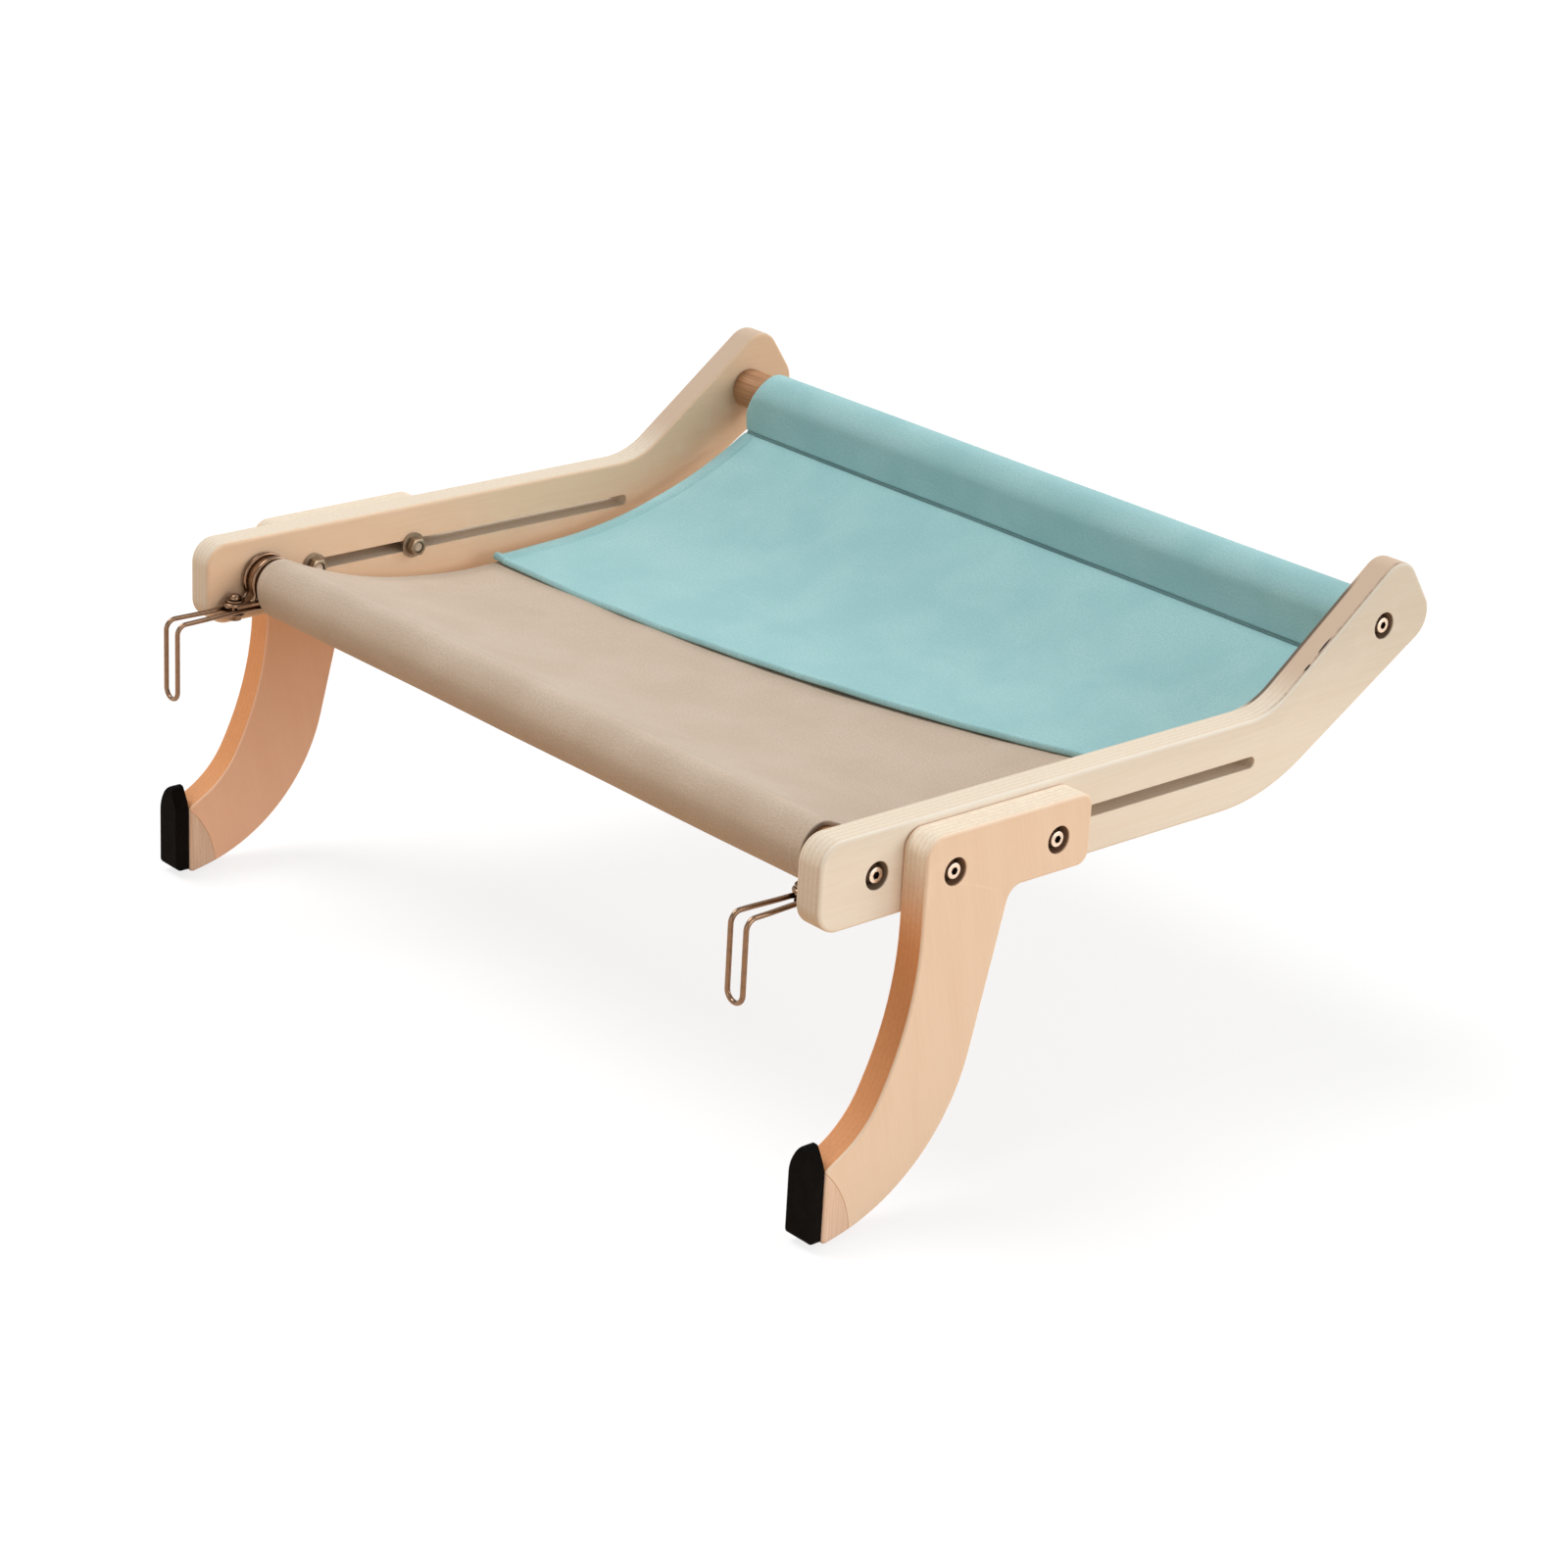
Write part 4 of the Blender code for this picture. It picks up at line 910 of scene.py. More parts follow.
def rounded_outline(corners: Sequence[Corner], step: float = ARC_STEP) -> list[Vector]:
    """Turn corners into a smooth outline, each corner an arc of its own radius.

    Args:
        corners: The (y, z, radius) corners in order.
        step: The widest turn of one facet.

    Returns:
        The outline's points.
    """
    points: list[Vector] = []
    for index, (y, z, radius) in enumerate(corners):
        corner = Vector((y, z))
        before = (Vector(corners[index - 1][:2]) - corner).normalized()
        after = (Vector(corners[(index + 1) % len(corners)][:2]) - corner).normalized()
        turn = math.pi - before.angle(after)
        if radius == 0:
            points.append(corner)
            continue
        centre = corner + (before + after).normalized() * (radius / math.cos(turn / 2))
        arm = corner + before * (radius * math.tan(turn / 2)) - centre
        way = 1 if before.cross(after) < 0 else -1
        steps = max(2, math.ceil(turn / step))
        for count in range(steps + 1):
            points.append(centre + Matrix.Rotation(way * turn * count / steps, 2) @ arm)
    return points


def plate(name: str, outline: Sequence[Vector], near: float, far: float) -> Mesh:
    """Extrude an outline along X.

    Args:
        name: The mesh's name.
        outline: The side view's (y, z) points.
        near: The X that it starts from.
        far: The X that it ends at.

    Returns:
        The plate's mesh.
    """
    def build(bm: BMesh) -> None:
        """Fill the outline and draw it out."""
        face = bm.faces.new([bm.verts.new((near, y, z)) for y, z in outline])
        drawn = bmesh.ops.extrude_face_region(bm, geom=[face])
        moved = [item for item in drawn["geom"] if isinstance(item, BMVert)]
        bmesh.ops.translate(bm, verts=moved, vec=(far - near, 0, 0))
    return mesh_of(name, build)


def turned(name: str, profile: Sequence[tuple[float, float]], segments: int = 48) -> Mesh:
    """Spin a (along, radius) profile about Z into a closed body.

    Args:
        name: The mesh's name.
        profile: The half section, its open ends on the axis or closed on itself.
        segments: Facets round.

    Returns:
        The turned mesh.
    """
    def build(bm: BMesh) -> None:
        """Spin the section's edges."""
        verts = [bm.verts.new((radius, 0, along)) for along, radius in profile]
        for index, vert in enumerate(verts):
            other = verts[index - 1]
            if vert.co.x or other.co.x:
                bm.edges.new((other, vert))
        bmesh.ops.spin(bm, geom=bm.verts[:] + bm.edges[:], cent=(0, 0, 0), axis=(0, 0, 1),
                       angle=2 * math.pi, steps=segments, use_merge=True)
        bmesh.ops.remove_doubles(bm, verts=bm.verts, dist=1e-6)
    return mesh_of(name, build)


def round_bar(name: str, radius: float, near: float, far: float, y: float, z: float,
              segments: int = 64) -> Mesh:
    """A plain round bar along X, for cutting.

    Args:
        name: The mesh's name.
        radius: Its radius.
        near: One end's X.
        far: The other end's X.
        y: The axis's place.
        z: The axis's height.
        segments: Facets round.

    Returns:
        The bar's mesh.
    """
    def build(bm: BMesh) -> None:
        """Make the bar and lay it along X."""
        place = Matrix.Translation(((near + far) / 2, y, z)) @ Matrix.Rotation(math.pi / 2, 4, "Y")
        bmesh.ops.create_cone(bm, cap_ends=True, segments=segments, radius1=radius, radius2=radius,
                              depth=abs(far - near), matrix=place)
    return mesh_of(name, build)


class Cut(Enum):
    """What a cutter does to a board."""

    REMOVE = "DIFFERENCE"
    KEEP = "INTERSECT"


def add_cut(board: Object, shape: Mesh, kind: Cut) -> Object:
    """Add a cut to a board.

    Args:
        board: The board.
        shape: The cutter's mesh.
        kind: What it does.

    Returns:
        The cutter, to be removed when the board is finished.
    """
    cutter = linked(f"{board.name}_cutter", shape)
    boolean = board.modifiers.new("cut", "BOOLEAN")
    boolean.object = cutter
    boolean.operation = kind.value
    boolean.solver = "EXACT"
    return cutter


def add_rounding(board: Object, width: float, segments: int) -> None:
    """Add a rounding of a board's corners of over 50 degrees.

    Args:
        board: The board.
        width: The rounding's width, or zero for none.
        segments: Its facets.
    """
    if width:
        rounding = board.modifiers.new("edge", "BEVEL")
        rounding.width = width
        rounding.segments = segments
        rounding.limit_method = "ANGLE"
        rounding.angle_limit = math.radians(50)


def shaped(name: str, mesh: Mesh, edge: float, cuts: Sequence[tuple[Mesh, Cut]], soften: float) -> Mesh:
    """Round a board's edges, cut it, break the cuts' edges, and even out its shading.

    Args:
        name: The result's name.
        mesh: The board.
        edge: The radius of its outer edges.
        cuts: Cutters and what each does.
        soften: How wide the cuts' edges are broken.

    Returns:
        The shaped mesh.
    """
    board = linked(name, mesh)
    add_rounding(board, edge, 4)
    cutters = [add_cut(board, shape, kind) for shape, kind in cuts]
    add_rounding(board, soften, 2)
    board.modifiers.new("even", "WEIGHTED_NORMAL").keep_sharp = True
    result = frozen(board, name)
    for cutter in cutters:
        bpy.data.objects.remove(cutter, do_unlink=True)
    return result


class PathTree:
    """The Geometry Nodes trees that draw wire and stitches along a path and set fasteners on points."""

    def __init__(self) -> None:
        """Build the three trees."""
        self.wire = self._wire()
        self.stitch = self._stitch()
        self.fastener = self._fastener()

    @staticmethod
    def _start(name: str, inputs: Mapping[str, str]) -> tuple[Graph, Sockets, Sockets]:
        """Open a tree that turns a path into a result of one finish, and name its other inputs."""
        sockets = {"Path": "Geometry"} | inputs | {"Finish": "Material"}
        return Graph.opened(name, "GeometryNodeTree", sockets, {"Result": "Geometry"})

    @staticmethod
    def _finish(graph: Graph, given: Sockets, result: Sockets, geometry: Socket, smooth: bool) -> None:
        """End a tree in Realize Instances and Set Material.

        Args:
            graph: The tree's graph.
            given: What the tree is given.
            result: The sockets of its result.
            geometry: What it made.
            smooth: Whether to shade it smooth.
        """
        if smooth:
            geometry = graph.node("GeometryNodeRealizeInstances", {"Geometry": geometry}).outputs[0]
            geometry = graph.node("GeometryNodeSetShadeSmooth", {"Geometry": geometry}).outputs[0]
        real = graph.node("GeometryNodeRealizeInstances", {"Geometry": geometry}).outputs[0]
        painted = graph.node("GeometryNodeSetMaterial", {"Geometry": real, "Material": given["Finish"]})
        graph.feed(result["Result"], painted.outputs[0])

    def _wire(self) -> Tree:
        """A round wire along a chain of edges.

        Returns:
            The tree.
        """
        graph, given, result = self._start("wire_along_path", {"Radius": "Float", "Sides": "Int"})
        line = graph.node("GeometryNodeMeshToCurve", {"Mesh": given["Path"]}).outputs[0]
        ring = graph.node("GeometryNodeCurvePrimitiveCircle",
                          {"Resolution": given["Sides"], "Radius": given["Radius"]}).outputs[0]
        swept = graph.node("GeometryNodeCurveToMesh",
                           {"Curve": line, "Profile Curve": ring, "Fill Caps": True})
        self._finish(graph, given, result, swept.outputs[0], True)
        return graph.tree

    def _stitch(self) -> Tree:
        """A row of thread stitches along a chain of edges.

        Returns:
            The tree.
        """
        graph, given, result = self._start("stitches_along_path", floats("Spacing", "Length", "Thickness"))
        line = graph.node("GeometryNodeMeshToCurve", {"Mesh": given["Path"]}).outputs[0]
        spaced = graph.node("GeometryNodeResampleCurve", {"Curve": line, "Length": given["Spacing"]},
                            mode="LENGTH").outputs[0]
        tangent = graph.node("GeometryNodeInputTangent").outputs[0]
        turn = graph.node("FunctionNodeAlignRotationToVector", {"Vector": tangent}, axis="X").outputs[0]
        bead = graph.node("GeometryNodeMeshUVSphere", {"Segments": 6, "Rings": 5, "Radius": 0.5}).outputs[0]
        size = graph.joined(given["Length"], given["Thickness"], given["Thickness"])
        row = graph.node("GeometryNodeInstanceOnPoints",
                         {"Points": spaced, "Instance": bead, "Rotation": turn, "Scale": size}).outputs[0]
        self._finish(graph, given, result, row, True)
        return graph.tree

    def _fastener(self) -> Tree:
        """One copy of a template fastener on each point, turned by the point's own turn.

        Returns:
            The tree.
        """
        graph, given, result = self._start("fasteners_on_points", {"Template": "Object"})
        model = graph.node("GeometryNodeObjectInfo", {"Object": given["Template"]}).outputs["Geometry"]
        turn = graph.node("GeometryNodeInputNamedAttribute", {"Name": "turn"}, data_type="FLOAT_VECTOR")
        euler = graph.node("FunctionNodeEulerToRotation", {0: turn.outputs[0]}).outputs[0]
        placed = graph.node("GeometryNodeInstanceOnPoints",
                            {"Points": given["Path"], "Instance": model, "Rotation": euler}).outputs[0]
        self._finish(graph, given, result, placed, False)
        return graph.tree

    @staticmethod
    def _run(name: str, base: Mesh, tree: Tree, finish: Finish, **values: object) -> Mesh:
        """Run a tree on a base mesh and return what it makes as a plain mesh.

        Args:
            name: The result's name.
            base: The mesh that the tree starts from.
            tree: The tree.
            finish: The result's finish.
            **values: The tree's other inputs by name.

        Returns:
            The plain mesh.
        """
        holder = linked(name, base)
        modifier = holder.modifiers.new(tree.name, "NODES")
        modifier.node_group = tree
        known = {item.name: item.identifier for item in tree.interface.items_tree}
        modifier[known["Finish"]] = material_of(finish)
        for key, value in values.items():
            modifier[known[key]] = value
        return frozen(holder, name)

    def draw_wire(self, name: str, points: Sequence[Vector], radius: float, finish: Finish,
                  closed: bool = True, sides: int = 20) -> Mesh:
        """A wire of a radius through the points, closed unless told otherwise."""
        route = chain_mesh(name, [points], closed)
        return self._run(name, route, self.wire, finish, Radius=radius, Sides=sides)

    def draw_stitches(self, name: str, rows: Sequence[Sequence[Vector]], spacing: float, length: float,
                      thickness: float, finish: Finish) -> Mesh:
        """Rows of stitches, each row along its own points."""
        route = chain_mesh(name, rows, False)
        return self._run(name, route, self.stitch, finish, Spacing=spacing, Length=length,
                         Thickness=thickness)

    def set_fasteners(self, name: str, template: Mesh, places: Sequence[tuple[Vector, Vector]],
                      finish: Finish) -> Mesh:
        """Copies of a template at each place.

        Args:
            name: The mesh's name.
            template: The fastener, standing on Z.
            places: Each copy's place and turn.
            finish: Its finish.

        Returns:
            The fasteners' mesh.
        """
        points = bpy.data.meshes.new(name)
        points.from_pydata([place for place, _ in places], [], [])
        turns = points.attributes.new("turn", "FLOAT_VECTOR", "POINT")
        for item, (_, turn) in zip(turns.data, places):
            item.vector = turn
        model = linked(f"{name}_template", template)
        mesh = self._run(name, points, self.fastener, finish, Template=model)
        bpy.data.objects.remove(model, do_unlink=True)
        return mesh


def chain_mesh(name: str, rows: Sequence[Sequence[Vector]], closed: bool) -> Mesh:
    """Chains of edges through rows of points.

    Args:
        name: The mesh's name.
        rows: The points of each chain.
        closed: Whether each chain ends where it starts.

    Returns:
        The edge mesh.
    """
    points: list[Vector] = []
    edges: list[tuple[int, int]] = []
    for row in rows:
        first = len(points)
        points.extend(row)
        edges.extend((index, index + 1) for index in range(first, len(points) - 1))
        if closed:
            edges.append((len(points) - 1, first))
    mesh = bpy.data.meshes.new(name)
    mesh.from_pydata(points, edges, [])
    return mesh


TREES = PathTree()


@dataclass
class Hardware:
    """The screws, washers and nuts of the perch, and the places that they share."""

    shank: float = 0.006
    bore: float = 0.0068
    head_diameter: float = 0.0088
    head_height: float = 0.0052
    socket_flats: float = 0.004
    socket_depth: float = 0.0025
    washer_diameter: float = 0.0146
    washer_thickness: float = 0.0012
    broad_washer_diameter: float = 0.016
    nut_flats: float = 0.010
    nut_height: float = 0.005
    nut_chamfer: float = 0.0006
    edge: float = 0.0004
    grime_radius_share: float = 0.53

    def screw(self, length: float) -> Mesh:
        """A socket cap screw along Z, its head's seat at zero.

        Args:
            length: Of the shank.

        Returns:
            The screw's mesh.
        """
        head, shank, edge, top = self.head_diameter / 2, self.shank / 2, self.edge, self.head_height
        profile = [(-length, 0), (-length, shank - edge), (edge - length, shank), (0, shank),
                   (0, head - edge / 2), (edge / 2, head), (top - edge, head),
                   (top - edge / 3, head - edge / 3), (top, head - edge), (top, 0)]
        socket = hexagon("socket", self.socket_flats, self.socket_depth * 2)
        socket.transform(Matrix.Translation((0, 0, top - self.socket_depth)))
        mesh = carved("cap_screw", turned("screw", profile), socket, Cut.REMOVE)
        # mark the hex socket's faces for painted shade
        marks = mesh.attributes.new("recess", "FLOAT", "FACE")
        for face, mark in zip(mesh.polygons, marks.data):
            near = math.hypot(face.center.x, face.center.y) < self.socket_flats * self.grime_radius_share
            mark.value = float(near and top - 1.5 * self.socket_depth < face.center.z < top - edge / 2)
        return mesh

    def washer(self, diameter: float, thickness: float, bore: float) -> Mesh:
        """A flat washer along Z from zero up, with pressed edges.

        Args:
            diameter: Outside.
            thickness: Its thickness.
            bore: Its hole.

        Returns:
            The washer's mesh.
        """
        inner, outer, edge = bore / 2, diameter / 2, thickness / 4
        profile = [(0, inner), (thickness, inner), (thickness, outer - edge), (thickness - edge, outer),
                   (edge, outer), (0, outer - edge)]
        return turned("washer", profile)

    def head_washer(self) -> Mesh:
        """The washer under a screw's head."""
        return self.washer(self.washer_diameter, self.washer_thickness, self.bore)

    def nut(self, flats: float, height: float, bore: float) -> Mesh:
        """A chamfered hex nut along Z from zero up.

        Args:
            flats: Width over its flats.
            height: Its height.
            bore: Its hole.

        Returns:
            The nut's mesh.
        """
        corner = flats / 2 / math.cos(math.pi / 6)
        chamfer, lean = self.nut_chamfer, 2 * self.nut_chamfer
        round_part = turned("nut_round", [(0, bore / 2), (height, bore / 2), (height, corner - lean),
                                          (height - chamfer, corner), (chamfer, corner), (0, corner - lean)])
        return carved("nut", hexagon("nut_hexagon", flats, height), round_part, Cut.KEEP)


def carved(name: str, mesh: Mesh, cutter: Mesh, kind: Cut) -> Mesh:
    """Cut a fastener and shade it smooth between its sharp edges.

    Args:
        name: The result's name.
        mesh: The fastener.
        cutter: What cuts it.
        kind: What the cutter does.

    Returns:
        The cut mesh.
    """
    body = linked(name, mesh)
    tool = add_cut(body, cutter, kind)
    result = frozen(body, name)
    bpy.data.objects.remove(tool, do_unlink=True)
    return smoothed(result)


def hexagon(name: str, flats: float, height: float) -> Mesh:
    """A hexagonal prism along Z from zero up.

    Args:
        name: The mesh's name.
        flats: Width over its flats.
        height: Its height.

    Returns:
        The prism's mesh.
    """
    def build(bm: BMesh) -> None:
        """Make the prism standing on the ground."""
        radius = flats / 2 / math.cos(math.pi / 6)
        bmesh.ops.create_cone(bm, cap_ends=True, segments=6, radius1=radius, radius2=radius, depth=height,
                              matrix=Matrix.Translation((0, 0, height / 2)))
    return mesh_of(name, build)


HARDWARE = Hardware()


@dataclass
class Layout:
    """The perch's shared places."""

    outer_x: float = 0.280
    inner_x: float = 0.262
    axis_z: float = 0.025
    front_y: float = 0.0386
    rear_y: float = 0.415288
    rear_z: float = 0.084432
    counterbore_radius: float = 0.00775
    counterbore_depth: float = 0.0078
    dowel_radius: float = 0.0125
    softened: float = 0.0004

    def dowels(self) -> list[tuple[str, float, float]]:
        """The name, place and height of each dowel's axis."""
        return [("front", self.front_y, self.axis_z), ("rear", self.rear_y, self.rear_z)]


PLACES = Layout()


def bolt_cutters(side: Side, inner: float, outer: float, y: float, z: float) -> list[tuple[Mesh, Cut]]:
    """The cutters of one bolt hole and its counterbore.

    Args:
        side: Which side of the perch.
        inner: How far out the board's inner face is.
        outer: How far out its outer face is.
        y: The bolt's place.
        z: The bolt's height.

    Returns:
        Two cutters that remove.
    """
    sign = side.value
    end = sign * (outer + SPARE)
    hole = round_bar("hole", HARDWARE.bore / 2, sign * (inner - SPARE), end, y, z)
    sink = round_bar("sink", PLACES.counterbore_radius, sign * (outer - PLACES.counterbore_depth), end, y, z)
    return [(hole, Cut.REMOVE), (sink, Cut.REMOVE)]


@dataclass
class SideRail:
    """One slotted plywood rail with its upswept tail."""

    side: Side
    height: float = 0.050
    corner: float = 0.014
    bend_y: float = 0.328
    bend_inside: float = 0.050
    bend_under: float = 0.120
    tail_angle: float = math.radians(34.25)
    tail_taper: float = math.radians(2.75)
    tail_length: float = 0.1401
    tip_corner: float = 0.016
    edge: float = 0.0022
    slot_width: float = 0.0068
    slot_front_y: float = 0.0715
    slot_rear_y: float = 0.3174
    slot_step: float = math.radians(10)

    def outline(self) -> list[Vector]:
        """The rail's side view.

        Returns:
            The outline's points.
        """
        along = Vector((math.cos(self.tail_angle), math.sin(self.tail_angle)))
        tip = Vector((self.bend_y, PLACES.axis_z)) + along * self.tail_length

        def meet(start_z: float, angle: float) -> Vector:
            """Where a tail edge from the bend meets the square end."""
            edge = Vector((math.cos(angle), math.sin(angle)))
            start = Vector((self.bend_y, start_z))
            return start + edge * ((tip - start).dot(along) / edge.dot(along))

        top = meet(self.height, self.tail_angle + self.tail_taper)
        under = meet(0.0, self.tail_angle - self.tail_taper)
        return rounded_outline([
            (0, 0, self.corner), (0, self.height, self.corner),
            (self.bend_y, self.height, self.bend_inside), (top.x, top.y, self.tip_corner),
            (under.x, under.y, self.tip_corner), (self.bend_y, 0, self.bend_under)])

    def build(self) -> None:
        """Cut the board and show it."""
        name = f"{self.side.label}_rail_board"
        sign = self.side.value
        board = plate(name, self.outline(), sign * PLACES.inner_x, sign * PLACES.outer_x)
        half = self.slot_width / 2
        low, high = PLACES.axis_z - half, PLACES.axis_z + half
        slot = rounded_outline([(self.slot_front_y, low, half), (self.slot_front_y, high, half),
                                (self.slot_rear_y, high, half), (self.slot_rear_y, low, half)],
                               self.slot_step)
        cutter = plate("slot", slot, sign * (PLACES.inner_x - SPARE), sign * (PLACES.outer_x + SPARE))
        cuts = [(cutter, Cut.REMOVE)]
        for _, y, z in PLACES.dowels():
            cuts += bolt_cutters(self.side, PLACES.inner_x, PLACES.outer_x, y, z)
        mesh = shaped(name, board, self.edge, cuts, PLACES.softened)
        show(name, mesh, RAIL_PLYWOOD, FRAME_BODY, [f"{self.side.label}_side_rail"])


@dataclass
class Leg:
    """One curved leg with its foot block, its pad and its slot bolts."""

    side: Side
    thickness: float = 0.018
    edge: float = 0.0016
    bolt_y: float = 0.0753
    bolt_spacing: float = 0.0734
    head_front: float = 0.0200
    head_rear: float = 0.0233
    head_rise: float = 0.0215
    head_drop: float = 0.0185
    shank_width: float = 0.0612
    drop: float = 0.1220
    foot_height: float = 0.0425
    foot_corner: float = 0.003
    head_top_corner: float = 0.011
    head_rear_corner: float = 0.0075
    crotch_radius: float = 0.010
    foot_forward_share: float = 0.4614
    knee_depth_share: float = 0.3953
    knee_radius_share: float = 1.4764
    shin_depth_share: float = 0.8742
    shin_forward_share: float = 0.2443
    shin_radius_share: float = 0.4915
    calf_back_share: float = 0.1923
    calf_rise_share: float = 0.1302
    calf_radius_share: float = 0.9033
    block_radius: float = 0.060
    block_set_back: float = 0.0415
    block_drop: float = 0.0018
    block_facets: int = 240
    pad_thickness: float = 0.0095
    pad_margin: float = 0.0006
    pad_set_up: float = 0.0030
    pad_upper_corner: float = 0.0045
    pad_lower_corner: float = 0.0040
    pad_shoulder_drop: float = 0.0150
    pad_shoulder: float = 0.0220
    pad_tip: float = 0.0032
    pad_rise: float = 0.0130
    pad_softened: float = 0.0009
    pad_step: float = math.radians(5)
    bolt_length: float = 0.0365
    near_x: float = PLACES.outer_x + GAP

    @property
    def far_x(self) -> float:
        """How far out the leg's outer face is."""
        return self.near_x + self.thickness

    @property
    def foot_y(self) -> float:
        """Where the foot's end face is."""
        return self.bolt_y - self.head_front - self.foot_forward_share * self.drop

    @property
    def foot_z(self) -> float:
        """The height of the foot's lower corner."""
        return -self.drop - self.foot_height

    def outline(self) -> list[Vector]:
        """The leg's side view.

        Returns:
            The outline's points.
        """
        front, drop = self.bolt_y - self.head_front, self.drop
        rear = self.bolt_y + self.bolt_spacing + self.head_rear
        top, low = PLACES.axis_z + self.head_rise, PLACES.axis_z - self.head_drop
        return rounded_outline([
            (front, top, self.head_top_corner), (rear, top, self.head_rear_corner),
            (rear, low, self.head_rear_corner), (front + self.shank_width, low, self.crotch_radius),
            (front + self.calf_back_share * drop, self.foot_z + self.calf_rise_share * drop,
             self.calf_radius_share * drop),
            (self.foot_y, self.foot_z, self.foot_corner), (self.foot_y, -drop, self.foot_corner),
            (front - self.shin_forward_share * drop, -self.shin_depth_share * drop,
             self.shin_radius_share * drop),
            (front, -self.knee_depth_share * drop, self.knee_radius_share * drop)])

    def board(self) -> Mesh:
        """The leg's uncut board."""
        sign = self.side.value
        return plate("board", self.outline(), sign * self.near_x, sign * self.far_x)

    def disc(self, radius: float) -> Mesh:
        """The round bar that parts the foot block from the leg."""
        sign = self.side.value
        return round_bar("disc", radius, sign * (self.near_x - SPARE), sign * (self.far_x + SPARE),
                         self.foot_y - self.block_set_back, self.foot_z - self.block_drop, self.block_facets)

    def build(self) -> None:
        """Make the leg, block, glue line, pad and fasteners, and show them."""
        label, body = self.side.label, self.side.slide_body
        cuts = [(self.disc(self.block_radius + GAP), Cut.REMOVE)]
        for y in self.bolt_places():
            cuts += bolt_cutters(self.side, self.near_x, self.far_x, y, PLACES.axis_z)
        wedge = [(self.disc(self.block_radius), Cut.KEEP)]
        ring = [(self.disc(self.block_radius + 0.9 * GAP), Cut.KEEP),
                (self.disc(self.block_radius + 0.1 * GAP), Cut.REMOVE)]
        for word, shape, soften, finish, nodes in (
                ("leg_board", cuts, PLACES.softened, LEG_PLYWOOD, [f"{label}_leg"]),
                ("foot_wedge", wedge, PLACES.softened, BLOCK_WOOD, [f"{label}_foot_block"]),
                ("foot_glue_line", ring, 0, BLOCK_GLUE, [])):
            name = f"{label}_{word}"
            show(name, shaped(name, self.board(), self.edge, shape, soften), finish, body, nodes)
        self.build_pad()
        self.build_fasteners()

    def bolt_places(self) -> list[float]:
        """Where the leg's two bolts are along Y."""
        return [self.bolt_y, self.bolt_y + self.bolt_spacing]

    def build_pad(self) -> None:
        """Make the black pad on the foot's end face."""
        sign = self.side.value
        back = self.foot_y - GAP
        face = back - self.pad_thickness
        low, high = self.foot_z + self.pad_set_up, self.pad_rise - self.drop
        outline = rounded_outline([(back, low, 0), (face, low, self.pad_lower_corner),
                                   (face, high, self.pad_upper_corner), (back, high, 0)], self.pad_step)
        mesh = plate("pad", outline, sign * self.near_x, sign * self.far_x)
        middle = -sign * (self.near_x + self.thickness / 2)
        half = self.thickness / 2 - self.pad_margin
        point = high + GAP + self.pad_tip * (math.hypot(half, self.pad_shoulder_drop) / half - 1)
        shoulder = point - self.pad_shoulder_drop
        near, far = middle - half, middle + half
        front = rounded_outline([(near, low - SPARE, 0), (near, shoulder, self.pad_shoulder),
                                 (middle, point, self.pad_tip), (far, shoulder, self.pad_shoulder),
                                 (far, low - SPARE, 0)], self.pad_step)
        arch = plate("arch", front, face - SPARE, back + SPARE)
        arch.transform(Matrix.Rotation(math.pi / 2, 4, "Z"))
        name = f"{self.side.label}_foot_cushion"
        mesh = shaped(name, mesh, 0, [(arch, Cut.KEEP)], self.pad_softened)
        show(name, mesh, PAD_RUBBER, self.side.slide_body, [f"{self.side.label}_foot_pad"])

    def build_fasteners(self) -> None:
        """Set the leg's bolts, washers and nuts."""
        label, sign, body = self.side.label, self.side.value, self.side.slide_body
        out_turn = Vector((0, sign * math.pi / 2, 0))
        in_turn = Vector((0, -sign * math.pi / 2, 0))
        washer_x = self.far_x - PLACES.counterbore_depth + GAP
        head_x = washer_x + HARDWARE.washer_thickness + GAP
        broad_x = PLACES.inner_x - GAP
        nut_x = broad_x - HARDWARE.washer_thickness - GAP
        broad = HARDWARE.washer(HARDWARE.broad_washer_diameter, HARDWARE.washer_thickness, HARDWARE.bore)
        nut = HARDWARE.nut(HARDWARE.nut_flats, HARDWARE.nut_height, HARDWARE.bore)
        kinds = [
            ("bolt", HARDWARE.screw(self.bolt_length), head_x, out_turn, BOLT_STEEL),
            ("bolt_washer", HARDWARE.head_washer(), washer_x, out_turn, SHADED_WASHER_STEEL),
            ("slide_washer", broad, broad_x, in_turn, NUT_STEEL),
            ("nut", nut, nut_x, in_turn, NUT_STEEL),
        ]
        for kind, template, x, turn, finish in kinds:
            name = f"{label}_leg_{kind}_pair"
            places = [(Vector((sign * x, y, PLACES.axis_z)), turn) for y in self.bolt_places()]
            mesh = TREES.set_fasteners(name, template, places, finish)
            nodes = [f"{label}_leg_{place}_{kind}" for place in ("front", "rear")]
            show(name, mesh, finish, body, nodes)


